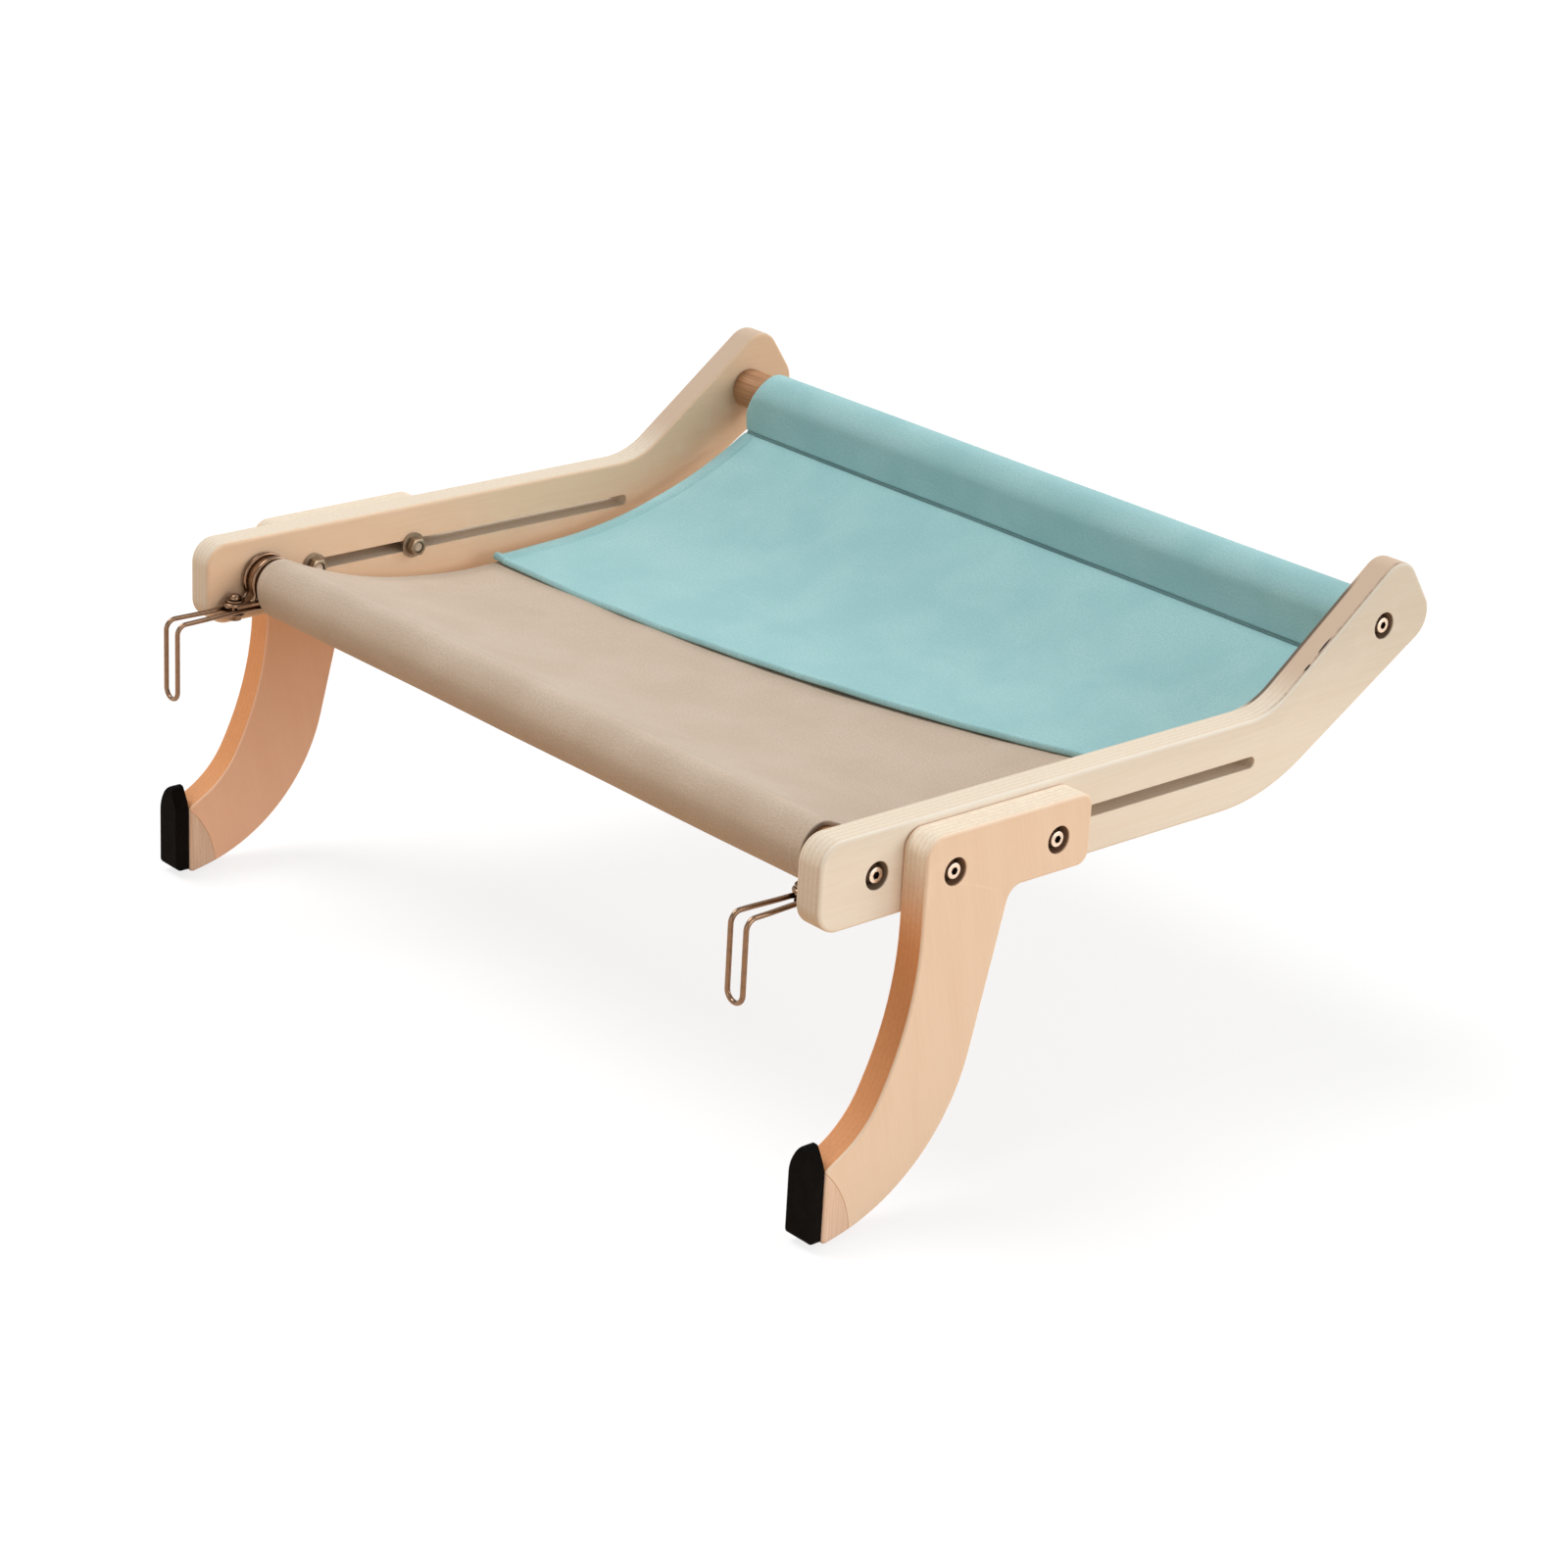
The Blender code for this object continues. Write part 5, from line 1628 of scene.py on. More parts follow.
@dataclass
class DowelSet:
    """The two dowels between the rails, with their bolts, washers and inserts."""

    chamfer: float = 0.0008
    bore_radius: float = 0.0065
    facets: int = 72
    bolt_length: float = 0.028

    def build(self) -> None:
        """Make the dowels and their fasteners, and show them."""
        half = PLACES.inner_x - GAP
        radius = PLACES.dowel_radius
        for place, y, z in PLACES.dowels():
            floor = half - self.bolt_length
            section = [(floor, 0), (floor, self.bore_radius), (half, self.bore_radius),
                       (half, radius - self.chamfer), (half - self.chamfer, radius)]
            profile = section + [(-along, size) for along, size in reversed(section)]
            mesh = turned("dowel", profile, self.facets)
            mesh.transform(Matrix.Translation((0, y, z)) @ Matrix.Rotation(math.pi / 2, 4, "Y"))
            show(f"{place}_dowel_rod", mesh, DOWEL_WOOD, FRAME_BODY, [f"{place}_dowel"])
        self.build_fasteners()

    def build_fasteners(self) -> None:
        """Set the dowels' bolts and washers, and dress the hidden inserts."""
        washer_x = PLACES.outer_x - PLACES.counterbore_depth + GAP
        head_x = washer_x + HARDWARE.washer_thickness + GAP
        kinds = [("bolt", HARDWARE.screw(self.bolt_length), head_x, BOLT_STEEL),
                 ("bolt_washer", HARDWARE.head_washer(), washer_x, SHADED_WASHER_STEEL)]
        for kind, template, x, finish in kinds:
            places, nodes = [], []
            for side in Side:
                for place, y, z in PLACES.dowels():
                    turn = Vector((0, side.value * math.pi / 2, 0))
                    places.append((Vector((side.value * x, y, z)), turn))
                    nodes.append(f"{side.label}_{place}_dowel_{kind}")
            name = f"dowel_{kind}_set"
            show(name, TREES.set_fasteners(name, template, places, finish), finish, FRAME_BODY, nodes)
        for side in Side:
            for place, _, _ in PLACES.dowels():
                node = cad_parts[f"{side.label}_{place}_dowel_insert"]
                node.data.materials.clear()
                node.data.materials.append(material_of(BRASS))


@dataclass
class SillHook:
    """One double-strand wire hook ringed round the front dowel, with its clamp bolt."""

    side: Side
    wire_radius: float = 0.0015
    spacing: float = 0.009
    tip_spacing: float = 0.0118
    middle_x: float = 0.2545
    reach: float = 0.0685
    drop: float = 0.0470
    bend: float = 0.006
    flare_start: float = 0.030
    ring_turn: float = math.radians(288)
    tail_bend: float = 0.0045
    tail_end: float = 0.0262
    clamp_place: float = 0.0245
    clamp_bore: float = 0.0046
    clamp_shank_radius: float = 0.002
    clamp_head_radius: float = 0.0038
    clamp_head_height: float = 0.0032
    clamp_washer_diameter: float = 0.0118
    clamp_washer_thickness: float = 0.001
    clamp_nut_flats: float = 0.007
    clamp_nut_height: float = 0.0032
    clamp_edge: float = 0.0002

    @property
    def ring_radius(self) -> float:
        """The radius of the ring's centre line."""
        return PLACES.dowel_radius + GAP + self.wire_radius

    def strand(self) -> list[tuple[float, float]]:
        """One strand's side view about the dowel: ahead of the axis and above it, tip to tail.

        Returns:
            The route's points.
        """
        arm, bend, end_bend = -self.ring_radius, self.bend, self.tail_bend
        start = self.reach - bend
        route = [(self.reach, arm - self.drop + self.tip_spacing / 2)]
        for step in range(13):
            angle = math.pi / 2 * step / 12
            route.append((self.reach - bend * (1 - math.cos(angle)), arm - bend * (1 - math.sin(angle))))
        for share in (0.25, 0.5, 0.75, 1.0):
            route.append((start + (self.flare_start - start) * share, arm))
        for step in range(73):
            angle = -math.pi / 2 + self.ring_turn * step / 72
            route.append((-self.ring_radius * math.cos(angle), self.ring_radius * math.sin(angle)))
        end = -math.pi / 2 + self.ring_turn
        reach = self.ring_radius + end_bend
        for step in range(1, 13):
            angle = end - math.pi - (end - math.pi / 2) * step / 12
            route.append((-reach * math.cos(end) - end_bend * math.cos(angle),
                          reach * math.sin(end) + end_bend * math.sin(angle)))
        route.append((self.tail_end, route[-1][1]))
        return route

    def half_space(self, ahead: float) -> float:
        """Half the space between the strands.

        Args:
            ahead: How far ahead of the dowel's axis.

        Returns:
            The half space.
        """
        span = self.reach - self.bend - self.flare_start
        share = min(1.0, max(0.0, (ahead - self.flare_start) / span))
        return (self.spacing + (self.tip_spacing - self.spacing) * share * share * (3 - 2 * share)) / 2

    def route(self) -> list[Vector]:
        """The wire's closed route: out along one strand and back along the other.

        Returns:
            The route's points.
        """
        middle = self.side.value * self.middle_x
        near, far = [], []
        for ahead, up in self.strand():
            half, y, z = self.half_space(ahead), PLACES.front_y - ahead, PLACES.axis_z + up
            near.append(Vector((middle + half, y, z)))
            far.append(Vector((middle - half, y, z)))
        tail, tip = near[-1], near[0]
        tail_half, tip_half = self.spacing / 2, self.tip_spacing / 2
        tail_turn, tip_turn = [], []
        for step in range(1, 16):
            across, along = math.cos(math.pi * step / 16), math.sin(math.pi * step / 16)
            tail_turn.append(Vector((middle + tail_half * across, tail.y - tail_half * along, tail.z)))
            tip_turn.append(Vector((middle - tip_half * across, tip.y, tip.z - tip_half * along)))
        return near + tail_turn + far[::-1] + tip_turn

    def build(self) -> None:
        """Bend the wire, set its clamp, and show them."""
        label, body = self.side.label, self.side.swing_body
        name = f"{label}_hook_wire"
        wire = TREES.draw_wire(name, self.route(), self.wire_radius, NICKEL)
        show(name, wire, NICKEL, body, [f"{label}_hook"])
        self.build_clamp()

    def build_clamp(self) -> None:
        """Make the clamp's domed bolt, two washers and nut."""
        label, body = self.side.label, self.side.swing_body
        spot = Vector((self.side.value * self.middle_x, PLACES.front_y - self.clamp_place, PLACES.axis_z))
        upper = self.strand()[-1][1] + self.wire_radius + GAP
        lower = -self.ring_radius - self.wire_radius - GAP
        thin, dome, rise = self.clamp_washer_thickness, self.clamp_head_radius, self.clamp_head_height
        for place, height in (("upper", upper), ("lower", lower - thin)):
            mesh = HARDWARE.washer(self.clamp_washer_diameter, thin, self.clamp_bore)
            mesh.transform(Matrix.Translation(spot + Vector((0, 0, height))))
            show(f"{label}_clamp_{place}_washer", mesh, NICKEL, body, [f"{label}_hook_{place}_washer"])
        nut_top = lower - thin - GAP
        nut = HARDWARE.nut(self.clamp_nut_flats, self.clamp_nut_height, self.clamp_bore)
        nut.transform(Matrix.Translation(spot + Vector((0, 0, nut_top - self.clamp_nut_height))))
        show(f"{label}_clamp_nut", nut, NICKEL, body, [f"{label}_hook_nut"])
        seat = upper + thin + GAP
        length = seat - nut_top + self.clamp_nut_height
        shank, edge = self.clamp_shank_radius, self.clamp_edge
        profile = [(-length, 0), (-length, shank - GAP), (GAP - length, shank), (0, shank), (0, dome - edge),
                   (edge, dome)]
        for step in range(1, 12):
            angle = math.pi / 2 * step / 12
            profile.append((edge + (rise - edge) * math.sin(angle), dome * math.cos(angle)))
        profile.append((rise, 0))
        bolt = turned("clamp_bolt", profile)
        bolt.transform(Matrix.Translation(spot + Vector((0, 0, seat))))
        show(f"{label}_clamp_bolt", bolt, NICKEL, body, [f"{label}_hook_bolt"])


class Track:
    """A dense line in side view, looked up by the distance along it."""

    def __init__(self, points: Sequence[Vector], zero: int = 0) -> None:
        """Measure the line.

        Args:
            points: The (y, z) points in order.
            zero: The point that distance counts from.
        """
        self.points = list(points)
        run = [0.0]
        for first, second in zip(self.points, self.points[1:]):
            run.append(run[-1] + (second - first).length)
        self.run = [length - run[zero] for length in run]

    @property
    def start(self) -> float:
        """The first point's distance."""
        return self.run[0]

    @property
    def end(self) -> float:
        """The last point's distance."""
        return self.run[-1]

    def place(self, distance: float) -> tuple[Vector, Vector]:
        """The point and left-hand normal at a distance.

        Args:
            distance: Along the line.

        Returns:
            The point and the unit normal.
        """
        index = min(max(bisect_right(self.run, distance) - 1, 0), len(self.run) - 2)
        first, second = self.points[index], self.points[index + 1]
        share = (distance - self.run[index]) / (self.run[index + 1] - self.run[index])
        before = self.points[max(0, index - 1)]
        after = self.points[min(len(self.points) - 1, index + 2)]
        along = (second - before).normalized().lerp((after - first).normalized(), min(1, max(0, share)))
        along.normalize()
        return first.lerp(second, share), Vector((-along.y, along.x))


def ease(value: float, low: float, high: float) -> float:
    """A smooth step from 0 at the low value to 1 at the high one."""
    share = min(1.0, max(0.0, (value - low) / (high - low)))
    return share * share * (3 - 2 * share)


@dataclass
class Sling:
    """The two cloths: the beige base on the front dowel and the teal cover on the rear one."""

    half_width: float = 0.246
    thickness: float = 0.0020
    clearance: float = 0.0006
    sleeve_radius: float = 0.0153
    slack: float = 0.0050
    crease: float = math.radians(64)
    sag: float = 0.0380
    sag_power: float = 2.6
    seam_forward: float = 0.0115
    seam_drop: float = 0.0260
    base_end: float = 0.955
    hem_edge_y: float = 0.1985
    hem_skew: float = 0.0760
    hem_power: float = 2.3
    cover_right: float = 0.2585
    taper_y: float = 0.330
    taper_length: float = 0.068
    base_draw: float = 0.0064
    cover_draw: float = 0.011
    hem_width: float = 0.009
    hem_rise: float = 0.0005
    hem_seam_inset: float = 0.0018
    front_hem: float = 0.0056
    fold_rise: float = 0.0019
    sleeve_seam: float = 0.0045
    sewn_depth: float = 0.0003
    seam_depth: float = 0.0009
    stitch_pitch: float = 0.0036
    stitch_length: float = 0.0027
    thread: float = 0.00055
    middle_depth: float = 0.0011
    sleeve_turn: float = math.radians(326)
    cover_start: float = 0.38
    hem_fade: tuple[float, float] = (-0.008, 0.004)
    hem_shoulder: float = 0.0007
    groove_width: float = 0.0009
    loose_start: tuple[float, float] = (0.056, 0.10)
    loose_end: tuple[float, float] = (0.375, 0.402)
    ripples: tuple[tuple[float, ...], ...] = (
        (7.0, 0.0, 8.5, 3.1, 0.0016), (21.0, 4.0, 26.0, 7.7, 0.0005), (30.0, 0.0, 4.0, 12.0, 0.0005))
    tracks: dict[str, Track] = field(default_factory=dict)

    def __post_init__(self) -> None:
        """Lay out both cloths' lines in side view."""
        self.tracks = {"base": self.base_track(), "cover": self.cover_track()}

    def hang(self, share: float, height: float) -> Vector:
        """A point of the hanging sheets in side view.

        Args:
            share: From the front crease, 0, to the rear seam, 1.
            height: Square to the sheet, above the base's upper face.

        Returns:
            The (y, z) point.
        """
        start = Vector((PLACES.front_y + self.sleeve_radius * math.cos(self.crease),
                        PLACES.axis_z + self.sleeve_radius * math.sin(self.crease)))
        end = Vector((PLACES.rear_y - self.seam_forward, PLACES.rear_z - self.seam_drop))

        def at(where: float) -> Vector:
            """The upper face's point."""
            flat = start.lerp(end, where)
            return flat - Vector((0, self.sag * (1 - abs(2 * where - 1) ** self.sag_power)))

        along = (at(min(1.0, share + 0.006)) - at(max(0.0, share - 0.006))).normalized()
        return at(share) + Vector((-along.y, along.x)) * height

    def base_track(self) -> Track:
        """The base's middle line: from under the cover's seam to the front dowel and round it.

        Returns:
            The track, counted from its rear end.
        """
        depth = self.middle_depth
        points = [self.hang(self.base_end * (1 - step / 150), -depth) for step in range(150)]
        radius = self.sleeve_radius - depth
        for step in range(121):
            angle = self.crease + self.sleeve_turn * step / 120
            tall = radius if math.sin(angle) > 0 else radius + self.slack
            points.append(Vector((PLACES.front_y + radius * math.cos(angle),
                                  PLACES.axis_z + tall * math.sin(angle))))
        return Track(points)

    def cover_track(self) -> Track:
        """The cover's middle line: from ahead of its hem to the seam, then round the rear dowel.

        Returns:
            The track, counted from the seam.
        """
        height = self.clearance + self.thickness / 2
        points = [self.hang(self.cover_start + (1 - self.cover_start) * step / 160, height)
                  for step in range(160)]
        zero = len(points)
        radius = self.sleeve_radius - self.middle_depth
        seam = self.hang(1.0, height)
        axis = Vector((PLACES.rear_y, PLACES.rear_z))
        arm = seam - axis
        heading = math.atan2(arm.y, arm.x)
        opening = math.acos(radius / arm.length)
        points.append(seam)
        first, last = heading + opening, heading - opening + 2 * math.pi
        start = axis + Vector((math.cos(first), math.sin(first))) * radius
        for step in range(1, 16):
            points.append(seam.lerp(start, step / 16))
        for step in range(97):
            angle = first + (last - first) * step / 96
            points.append(axis + Vector((math.cos(angle), math.sin(angle))) * radius)
        stop = seam + (points[-1] - seam).normalized() * (self.thickness + 0.0002)
        front = points[-1]
        for step in range(1, 15):
            points.append(front.lerp(stop, step / 14))
        return Track(points, zero)

    def hem_y(self, x: float) -> float:
        """Where the cover's front hem is along Y, at a place across."""
        share = (x / self.half_width + 1) / 2
        return self.hem_edge_y + self.hem_skew * max(0.0, share) ** self.hem_power

    def hem_distance(self, x: float) -> float:
        """The cover's distance of its hem from its seam, below zero.

        Args:
            x: Across the cloth.

        Returns:
            The distance.
        """
        track, goal = self.tracks["cover"], self.hem_y(x)
        low, high = track.start, 0.0
        for _ in range(30):
            middle = (low + high) / 2
            if track.place(middle)[0].x < goal:
                low = middle
            else:
                high = middle
        return (low + high) / 2

    def ripple(self, x: float, y: float, z: float) -> float:
        """How far both cloths stand off their even hanging line.

        Each ripple has a scale across, a shift, a scale along, a layer of the noise and a height.

        Args:
            x: Across the cloth.
            y: Along the perch.
            z: Height, so that a sleeve's two sides differ.

        Returns:
            The height, square to the cloth.
        """
        loose = ease(y, *self.loose_start) * (1 - ease(y, *self.loose_end))
        hanging = sum(height * noise.noise(Vector((across * x + shift, along * y, layer)))
                      for across, shift, along, layer, height in self.ripples)
        on_sleeve = noise.noise(Vector((9.0 * x, 30.0 * y, 30.0 * z))) * 0.0004
        return loose * hanging + (1 - loose) * on_sleeve

    def stations(self) -> list[tuple[float, float]]:
        """Places across the cloth and how full its thickness is there.

        Returns:
            The (x, fullness) pairs from edge to edge.
        """
        round_off = self.thickness / 2
        edge = [(self.half_width - round_off * (1 - math.cos(angle)), math.sin(angle))
                for angle in EDGE_TURNS]
        inner = self.half_width - 0.0115
        edge += [(self.half_width - round_off - 0.0007 * step, 1.0) for step in range(1, 15)]
        count = 156
        body = [(inner - 2 * inner * step / count, 1.0) for step in range(count + 1)]
        return edge + body + [(-x, fullness) for x, fullness in reversed(edge)]

    def spread_x(self, name: str, x: float, place: Vector) -> float:
        """Shape a cloth's side edges: the sleeves' ends are drawn in, and the cover widens.

        Args:
            name: "base" or "cover".
            x: Across a cloth of even width.
            place: The (y, z) point on the cloth's middle line.

        Returns:
            Where it lies across.
        """
        from_left = (x + self.half_width) / (2 * self.half_width)
        if name == "base":
            sleeve_end = PLACES.front_y + self.sleeve_radius
            on_sleeve = 1 - ease(place.x, sleeve_end, sleeve_end + self.sleeve_radius)
            return x - self.base_draw * on_sleeve * ease(from_left, 0.8, 1.0)
        right = self.cover_right - self.half_width
        right *= ease(place.x, self.taper_y, self.taper_y + self.taper_length)
        reach = self.sleeve_radius * 0.9
        over = ease(place.y, PLACES.rear_z - reach, PLACES.rear_z + reach)
        return x + right * from_left + self.cover_draw * over * (1 - ease(from_left, 0.0, 0.2))

    @property
    def seam_x(self) -> float:
        """How far across the side hems' stitches are."""
        return self.half_width - self.hem_width + self.hem_seam_inset

    def side_hem(self, x: float) -> float:
        """How much of the side hem's extra layer is under a place across, from 0 to 1."""
        inner = self.half_width - self.hem_width
        return ease(abs(x), inner - self.hem_shoulder, inner)

    def hem_lift(self, name: str, x: float, distance: float) -> float:
        """How far the cover's side hem lifts a place off the base. It ends at the sleeve."""
        if name == "base":
            return 0.0
        return self.side_hem(x) * self.hem_rise * (1 - ease(distance, *self.hem_fade))

    def side_groove(self, x: float) -> float:
        """How deep the side hem's stitched groove is at a place across, from 0 to 1."""
        return math.exp(-((self.seam_x - abs(x)) / self.groove_width) ** 2)

    def skin(self, name: str, rows: Callable[[float], Rows]) -> Mesh:
        """Wrap a cloth's two faces round its middle line.

        Args:
            name: "base" or "cover", whose track it follows.
            rows: For a place across, the rows along the cloth: distance, fullness, height above the
            middle line, height below it, and painted crease shade.

        Returns:
            The closed cloth with its own map in metres.
        """
        track = self.tracks[name]
        bm = bmesh.new()
        shade = bm.verts.layers.float.new("crease")
        layout = bm.loops.layers.uv.new("cloth")
        flat: dict[BMVert, tuple[float, float]] = {}
        sides: list[list[list[BMVert]]] = [[], []]
        for x, across in self.stations():
            faces: list[list[BMVert]] = [[], []]
            for distance, along, up, down, dark in rows(x):
                middle, normal = track.place(distance)
                lean = self.ripple(x, middle.x, middle.y) + self.hem_lift(name, x, distance)
                fullness = across * along
                for index, offset in enumerate((lean + up * fullness, lean - down * fullness)):
                    point = middle + normal * offset
                    wide = self.spread_x(name, x, middle)
                    vert = bm.verts.new((wide, point.x, point.y))
                    vert[shade] = dark
                    flat[vert] = (wide, distance)
                    faces[index].append(vert)
            for index in range(2):
                sides[index].append(faces[index])
        for index, grid in enumerate(sides):
            for here, there in zip(grid, grid[1:]):
                for low, high, far_high, far_low in zip(here, here[1:], there[1:], there):
                    corners = (low, high, far_high, far_low) if index else (low, far_low, far_high, high)
                    face = bm.faces.new(corners)
                    for loop in face.loops:
                        loop[layout].uv = flat[loop.vert]
        bmesh.ops.remove_doubles(bm, verts=bm.verts, dist=2e-6)
        bmesh.ops.recalc_face_normals(bm, faces=bm.faces)
        mesh = bpy.data.meshes.new(name)
        bm.to_mesh(mesh)
        bm.free()
        mesh.shade_smooth()
        return mesh

    def base_rows(self, x: float) -> Rows:
        """The base's rows along the cloth.

        Args:
            x: Across the cloth.

        Returns:
            The rows from its rear end to the end of its sleeve.
        """
        track = self.tracks["base"]
        hem, groove = self.side_hem(x), self.side_groove(x)
        half = self.thickness / 2
        crest = track.run[150]
        marks = edge_marks(track.start, half) + spread(track.start + half * 1.5, crest - 0.012, 90)
        marks += spread(crest - 0.0115, crest + 0.006, 30) + spread(crest + 0.007, track.end - half * 1.5, 50)
        marks += far_edge_marks(track.end, half)
        rows = []
        for distance, fullness in marks:
            wander = 0.0007 * noise.noise(Vector((26.0 * x, 2.0, 9.0)))
            seam = math.exp(-((distance - crest + self.sleeve_seam + wander) / 0.0015) ** 2)
            ridge = math.exp(-((distance - crest - 0.0005 + wander) / 0.0026) ** 2)
            down = half + self.hem_rise * 0.5 * hem
            up = down - 0.00035 * groove - self.seam_depth * seam + 0.0008 * ridge
            # painted shade for the hem grooves, the sleeve's seam and its open mouth near the side edges
            mouth = ease(abs(x), self.half_width - 0.0012, self.half_width - 0.0004)
            mouth *= ease(distance, crest, crest + 0.01)
            rows.append((distance, fullness, up, down, min(1.0, 0.07 * groove + 0.30 * seam + mouth)))
        return rows

    def cover_rows(self, x: float) -> Rows:
        """The cover's rows along the cloth.

        Args:
            x: Across the cloth.

        Returns:
            The rows from its front hem to the end of its sleeve.
        """
        track = self.tracks["cover"]
        half = self.thickness / 2
        front = self.hem_distance(x)
        marks = edge_marks(front, half + 0.0006) + spread(front + 0.0018, front + 0.0076, 14)
        marks += spread(front + 0.009, -0.009, 60) + spread(-0.008, 0.006, 28)
        marks += spread(0.007, track.end - 0.008, 64) + spread(track.end - 0.0072, track.end - half * 1.5, 8)
        marks += far_edge_marks(track.end, half)
        rows = []
        for distance, fullness in marks:
            ahead = 1 - ease(distance, *self.hem_fade)
            hem, groove = ahead * self.side_hem(x), ahead * self.side_groove(x)
            fold = 1 - ease(distance, front + 0.0034, front + 0.0052)
            sewn = math.exp(-((distance - front - self.front_hem) / 0.0007) ** 2)
            seam = math.exp(-((distance + 0.0004) / 0.0006) ** 2)
            pucker = seam * 0.0003 * noise.noise(Vector((140.0 * x, 0.0, 5.0)))
            up = half + self.fold_rise * fold + self.hem_rise * hem
            up += pucker - self.sewn_depth * (groove + sewn) - self.seam_depth * seam
            # the last value is painted shade for the hem grooves, the front hem's stitching and the seam
            rows.append((distance, fullness, up, half, min(1.0, 0.03 * groove + 0.12 * sewn + seam)))
        return rows

    def surface(self, name: str, x: float, distance: float, height: float) -> Vector:
        """A point over a cloth's upper face.

        Args:
            name: "base" or "cover".
            x: Across the cloth.
            distance: Along its track.
            height: Above its middle line.

        Returns:
            The point.
        """
        middle, normal = self.tracks[name].place(distance)
        lift = self.hem_lift(name, x, distance)
        point = middle + normal * (self.ripple(x, middle.x, middle.y) + lift + height)
        return Vector((self.spread_x(name, x, middle), point.x, point.y))

    def build(self) -> None:
        skin = self.skin("base", self.base_rows)
        base = show("base_cloth", skin, BEIGE_CLOTH, FRAME_BODY, ["base_sheet"])
        skin = self.skin("cover", self.cover_rows)
        cover = show("cover_cloth", skin, TEAL_CLOTH, FRAME_BODY, ["cover_sheet"])
        base_thread = self.stitch("base", self.base_seams(), BEIGE_THREAD)
        cover_thread = self.stitch("cover", self.cover_seams(), TEAL_THREAD)
        longest, area = self.cover_cut()

    def cover_cut(self) -> tuple[float, float]:
        """Measure the cover's cut piece: its hem is askew, and it widens towards its sleeve.

        Returns:
            Its greatest length along the perch, and its area.
        """
        track, count = self.tracks["cover"], 200
        longest, area = 0.0, 0.0
        for step in range(count):
            x = self.half_width * (2 * (step + 0.5) / count - 1)
            front = self.hem_distance(x)
            longest = max(longest, track.end - front)
            for part in range(count):
                spot = track.place(front + (track.end - front) * (part + 0.5) / count)[0]
                left, right = (self.spread_x("cover", sign * self.half_width, spot) for sign in (-1, 1))
                area += (right - left) / count * (track.end - front) / count
        return longest, area

    def base_seams(self) -> list[list[Vector]]:
        """The base's rows of stitches: both side hems and the sleeve's seam.

        Returns:
            The rows' routes.
        """
        track, inset, top = self.tracks["base"], self.seam_x, self.thickness / 2 + 0.0001
        crest = track.run[150]
        start, length = track.start + 0.004, crest - track.start - 0.006
        rows = [[self.surface("base", x, start + length * step / 160, top) for step in range(161)]
                for x in (-inset, inset)]
        places = [-inset + 2 * inset * step / 200 for step in range(201)]
        return rows + [[self.surface("base", x, crest - self.sleeve_seam, top - 0.0008) for x in places]]

    def cover_seams(self) -> list[list[Vector]]:
        """The cover's rows of stitches: both side hems and the front hem.

        Returns:
            The rows' routes.
        """
        inset, top = self.seam_x, self.thickness / 2 + 0.0002
        rows = []
        for x in (-inset, inset):
            start = self.hem_distance(x) + 0.012
            length = -0.003 - start
            rows.append([self.surface("cover", x, start + length * step / 90, top) for step in range(91)])
        places = [-inset + 2 * inset * step / 220 for step in range(221)]
        return rows + [[self.surface("cover", x, self.hem_distance(x) + self.front_hem, top - 0.0002)
                        for x in places]]

    def stitch(self, name: str, rows: list[list[Vector]], thread: Cloth) -> Object:
        """Sew a cloth's rows.

        Args:
            name: "base" or "cover".
            rows: The rows' routes.
            thread: The thread's finish.

        Returns:
            The stitching's object.
        """
        title = f"{name}_stitching"
        mesh = TREES.draw_stitches(title, rows, self.stitch_pitch, self.stitch_length, self.thread, thread)
        return show(title, mesh, thread, FRAME_BODY)


def spread(low: float, high: float, count: int) -> list[tuple[float, float]]:
    """Even places from one distance to another, each with full thickness."""
    return [(low + (high - low) * index / (count - 1), 1.0) for index in range(count)]


def edge_marks(start: float, radius: float) -> list[tuple[float, float]]:
    """Places close to a cloth's cut edge, where its thickness rounds off over a radius."""
    return [(start + radius * (1 - math.cos(angle)), math.sin(angle)) for angle in EDGE_TURNS]


def far_edge_marks(end: float, radius: float) -> list[tuple[float, float]]:
    """The same places before a cloth's far edge, up to the edge."""
    return [(2 * end - distance, fullness) for distance, fullness in reversed(edge_marks(end, radius))]


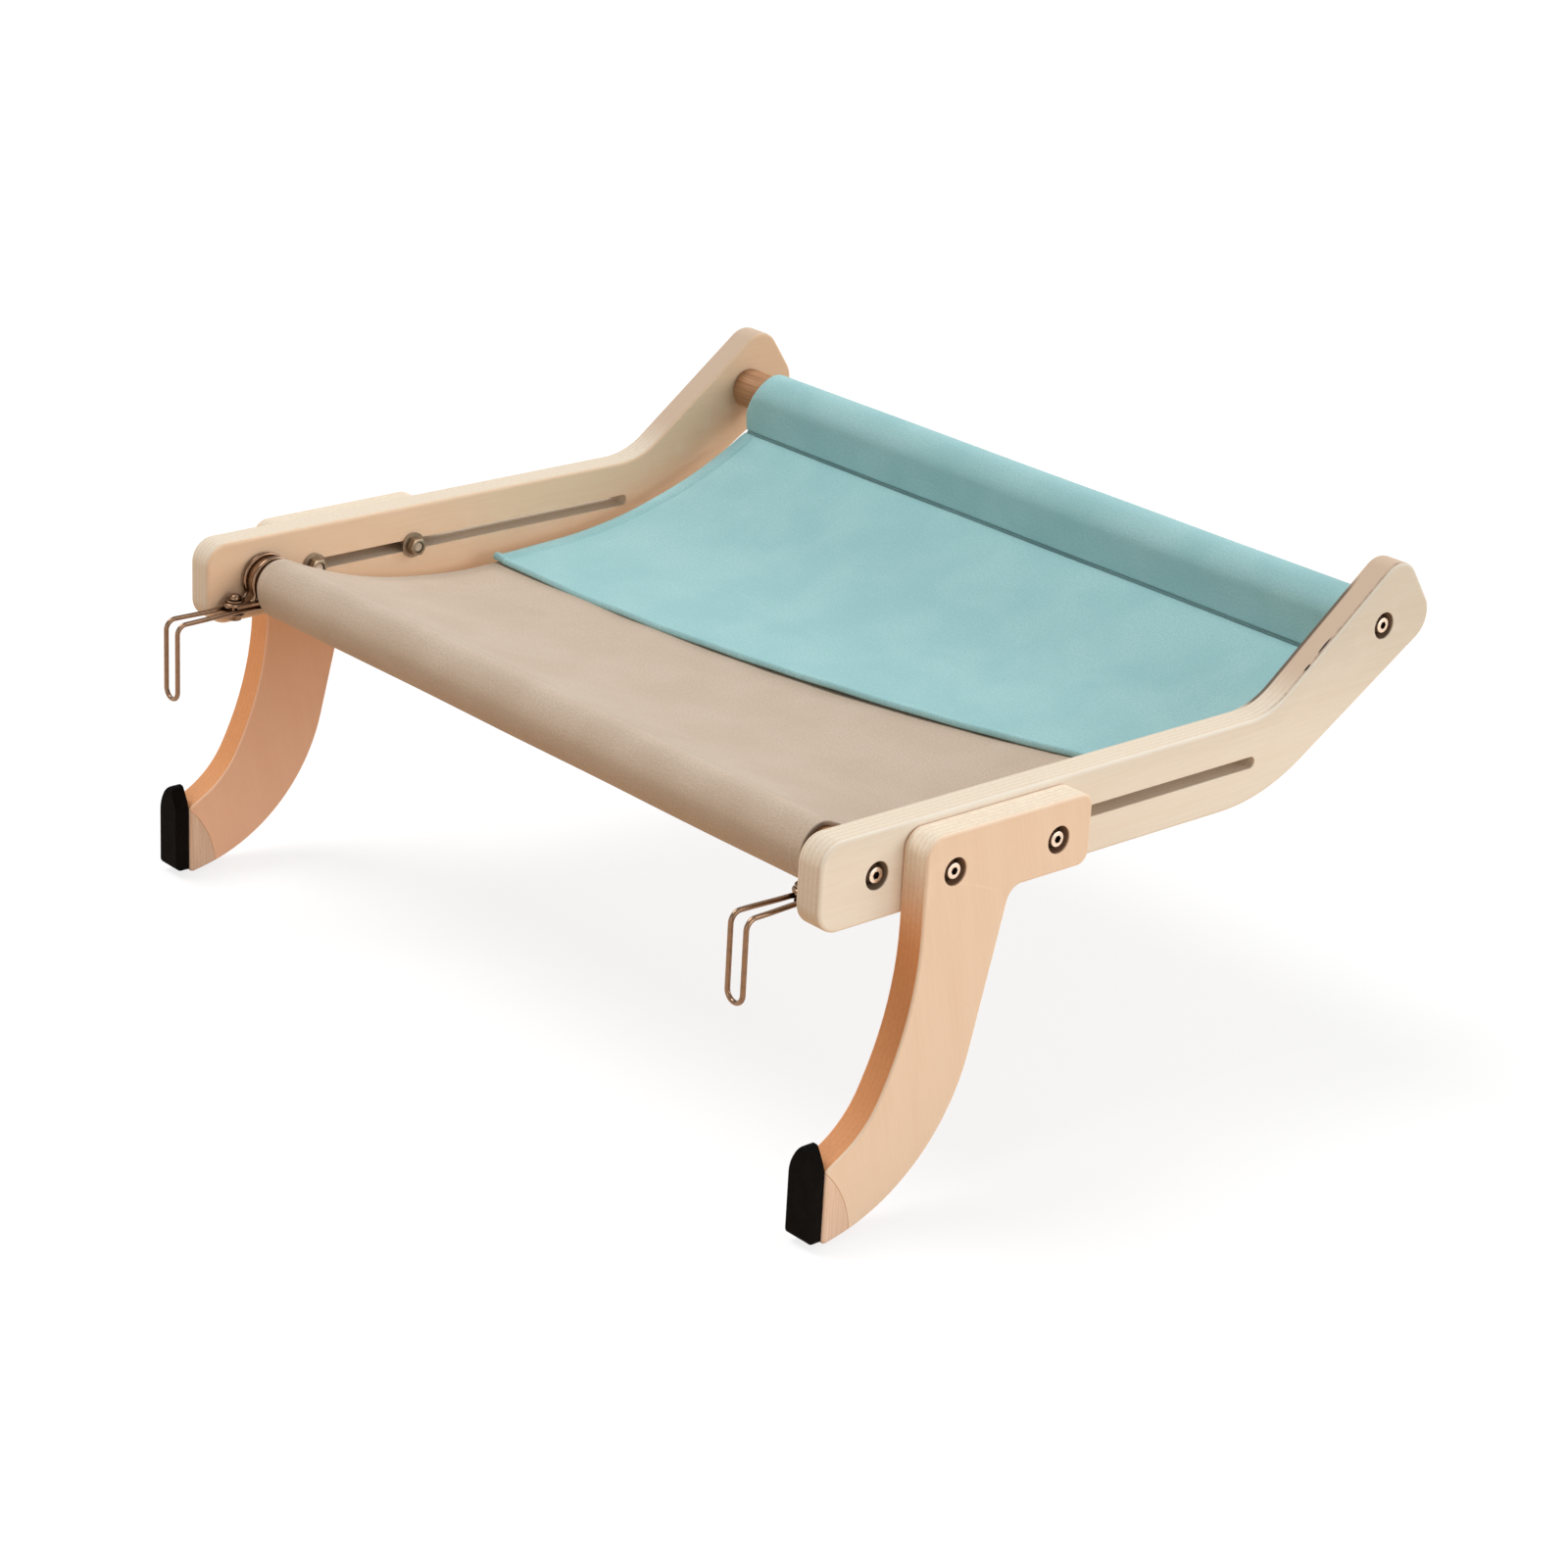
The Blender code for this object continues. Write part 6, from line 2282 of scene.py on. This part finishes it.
@dataclass
class Studio:
    """The floor, the light and the camera."""

    floor_z: float = -0.1653
    floor_half: float = 30.0
    floor_bounce: RGB = (0.60, 0.41, 0.26)
    floor_shade: RGB = (0.23, 0.23, 0.23)
    floor_glow: float = 0.79
    lamps: tuple[tuple[str, Corner, float], ...] = (
        ("high_key", (-0.42, -0.21, 0.88), 2.25), ("right_side", (1.0, 0.15, 0.15), 1.18),
        ("front_fill", (0.35, -1.0, 0.25), 0.36), ("right_back", (0.70, 0.70, 0.40), 0.75),
        ("back", (0.0, 1.0, 0.6), 0.83))
    lamp_angle: float = math.radians(35)
    surround: float = 0.27
    lens: float = 90.656
    place: Corner = (1.5878, -1.2243, 0.8010)
    azimuth: float = math.radians(47.554)
    elevation: float = math.radians(21.867)
    roll: float = math.radians(3.279)

    def build(self) -> None:
        """Set up everything round the perch."""
        self.floor()
        self.light()
        self.camera()
        bpy.context.scene.view_settings.view_transform = "Standard"

    def floor(self) -> None:
        """A wide white floor that keeps the perch's shadow."""
        def build(bm: BMesh) -> None:
            """One wide square."""
            bmesh.ops.create_grid(bm, x_segments=1, y_segments=1, size=self.floor_half,
                                  matrix=Matrix.Translation((0, 0, self.floor_z)))
        mesh = mesh_of("studio_floor", build, smooth=False)
        dressing = Dressing("studio_floor", Roughness=1.0, Specular_IOR_Level=0.0)
        graph = dressing.graph
        rays = graph.node("ShaderNodeLightPath").outputs
        dressing.feed(Base_Color=graph.blend(rays["Is Camera Ray"], self.floor_bounce, self.floor_shade))
        seen = graph.greater(rays["Is Camera Ray"], rays["Is Glossy Ray"])
        glow = graph.node("ShaderNodeEmission", {"Color": (1.0, 1.0, 1.0),
                                                 "Strength": graph.times(seen, self.floor_glow)})
        both = graph.node("ShaderNodeAddShader", {0: dressing.shader.outputs[0], 1: glow.outputs[0]})
        output = next(node for node in graph.tree.nodes if node.type == "OUTPUT_MATERIAL")
        graph.feed(output.inputs["Surface"], both.outputs[0])
        mesh.materials.append(dressing.material)
        linked("studio_floor", mesh)

    def light(self) -> None:
        """Soft lamps from above, the right, the front and behind, and an even surround."""
        for name, aim, strength in self.lamps:
            lamp = bpy.data.lights.new(name, "SUN")
            lamp.energy = strength
            lamp.angle = self.lamp_angle
            linked(name, lamp).rotation_euler = Vector(aim).to_track_quat("Z", "Y").to_euler()
        world = bpy.data.worlds.new("studio_surround")
        bpy.context.scene.world = world
        world.use_nodes = True
        graph = Graph(world.node_tree)
        background = world.node_tree.nodes["Background"]
        rays = graph.node("ShaderNodeLightPath").outputs
        seen = graph.greater(rays["Is Camera Ray"], rays["Is Glossy Ray"])
        strength = graph.remap(seen, 0.0, 1.0, self.surround, 1.0, smooth=False)
        graph.feed(background.inputs["Strength"], strength)
        background.inputs["Color"].default_value = (1.0, 1.0, 1.0, 1.0)

    def camera(self) -> None:
        """The camera at the photograph's angle."""
        away = Vector((math.sin(self.azimuth) * math.cos(self.elevation),
                       -math.cos(self.azimuth) * math.cos(self.elevation), math.sin(self.elevation)))
        level = Vector((math.cos(self.azimuth), math.sin(self.azimuth), 0))
        upright = away.cross(level)
        right = level * math.cos(self.roll) + upright * math.sin(self.roll)
        up = upright * math.cos(self.roll) - level * math.sin(self.roll)
        data = bpy.data.cameras.new("view")
        data.lens = self.lens
        data.sensor_width = 36.0
        data.clip_end = 100.0
        camera = linked("view", data)
        camera.matrix_world = Matrix.Translation(self.place) @ Matrix((right, up, away)).transposed().to_4x4()
        bpy.context.scene.camera = camera


def main() -> None:
    """Build the perch's sub-assemblies in order, then the studio."""
    logging.basicConfig(level=logging.INFO, format="%(name)s: %(message)s")
    for side in Side:
        SideRail(side).build()
    DowelSet().build()
    for side in Side:
        Leg(side).build()
        SillHook(side).build()
    Sling().build()
    Studio().build()


if __name__ == "__main__":
    main()
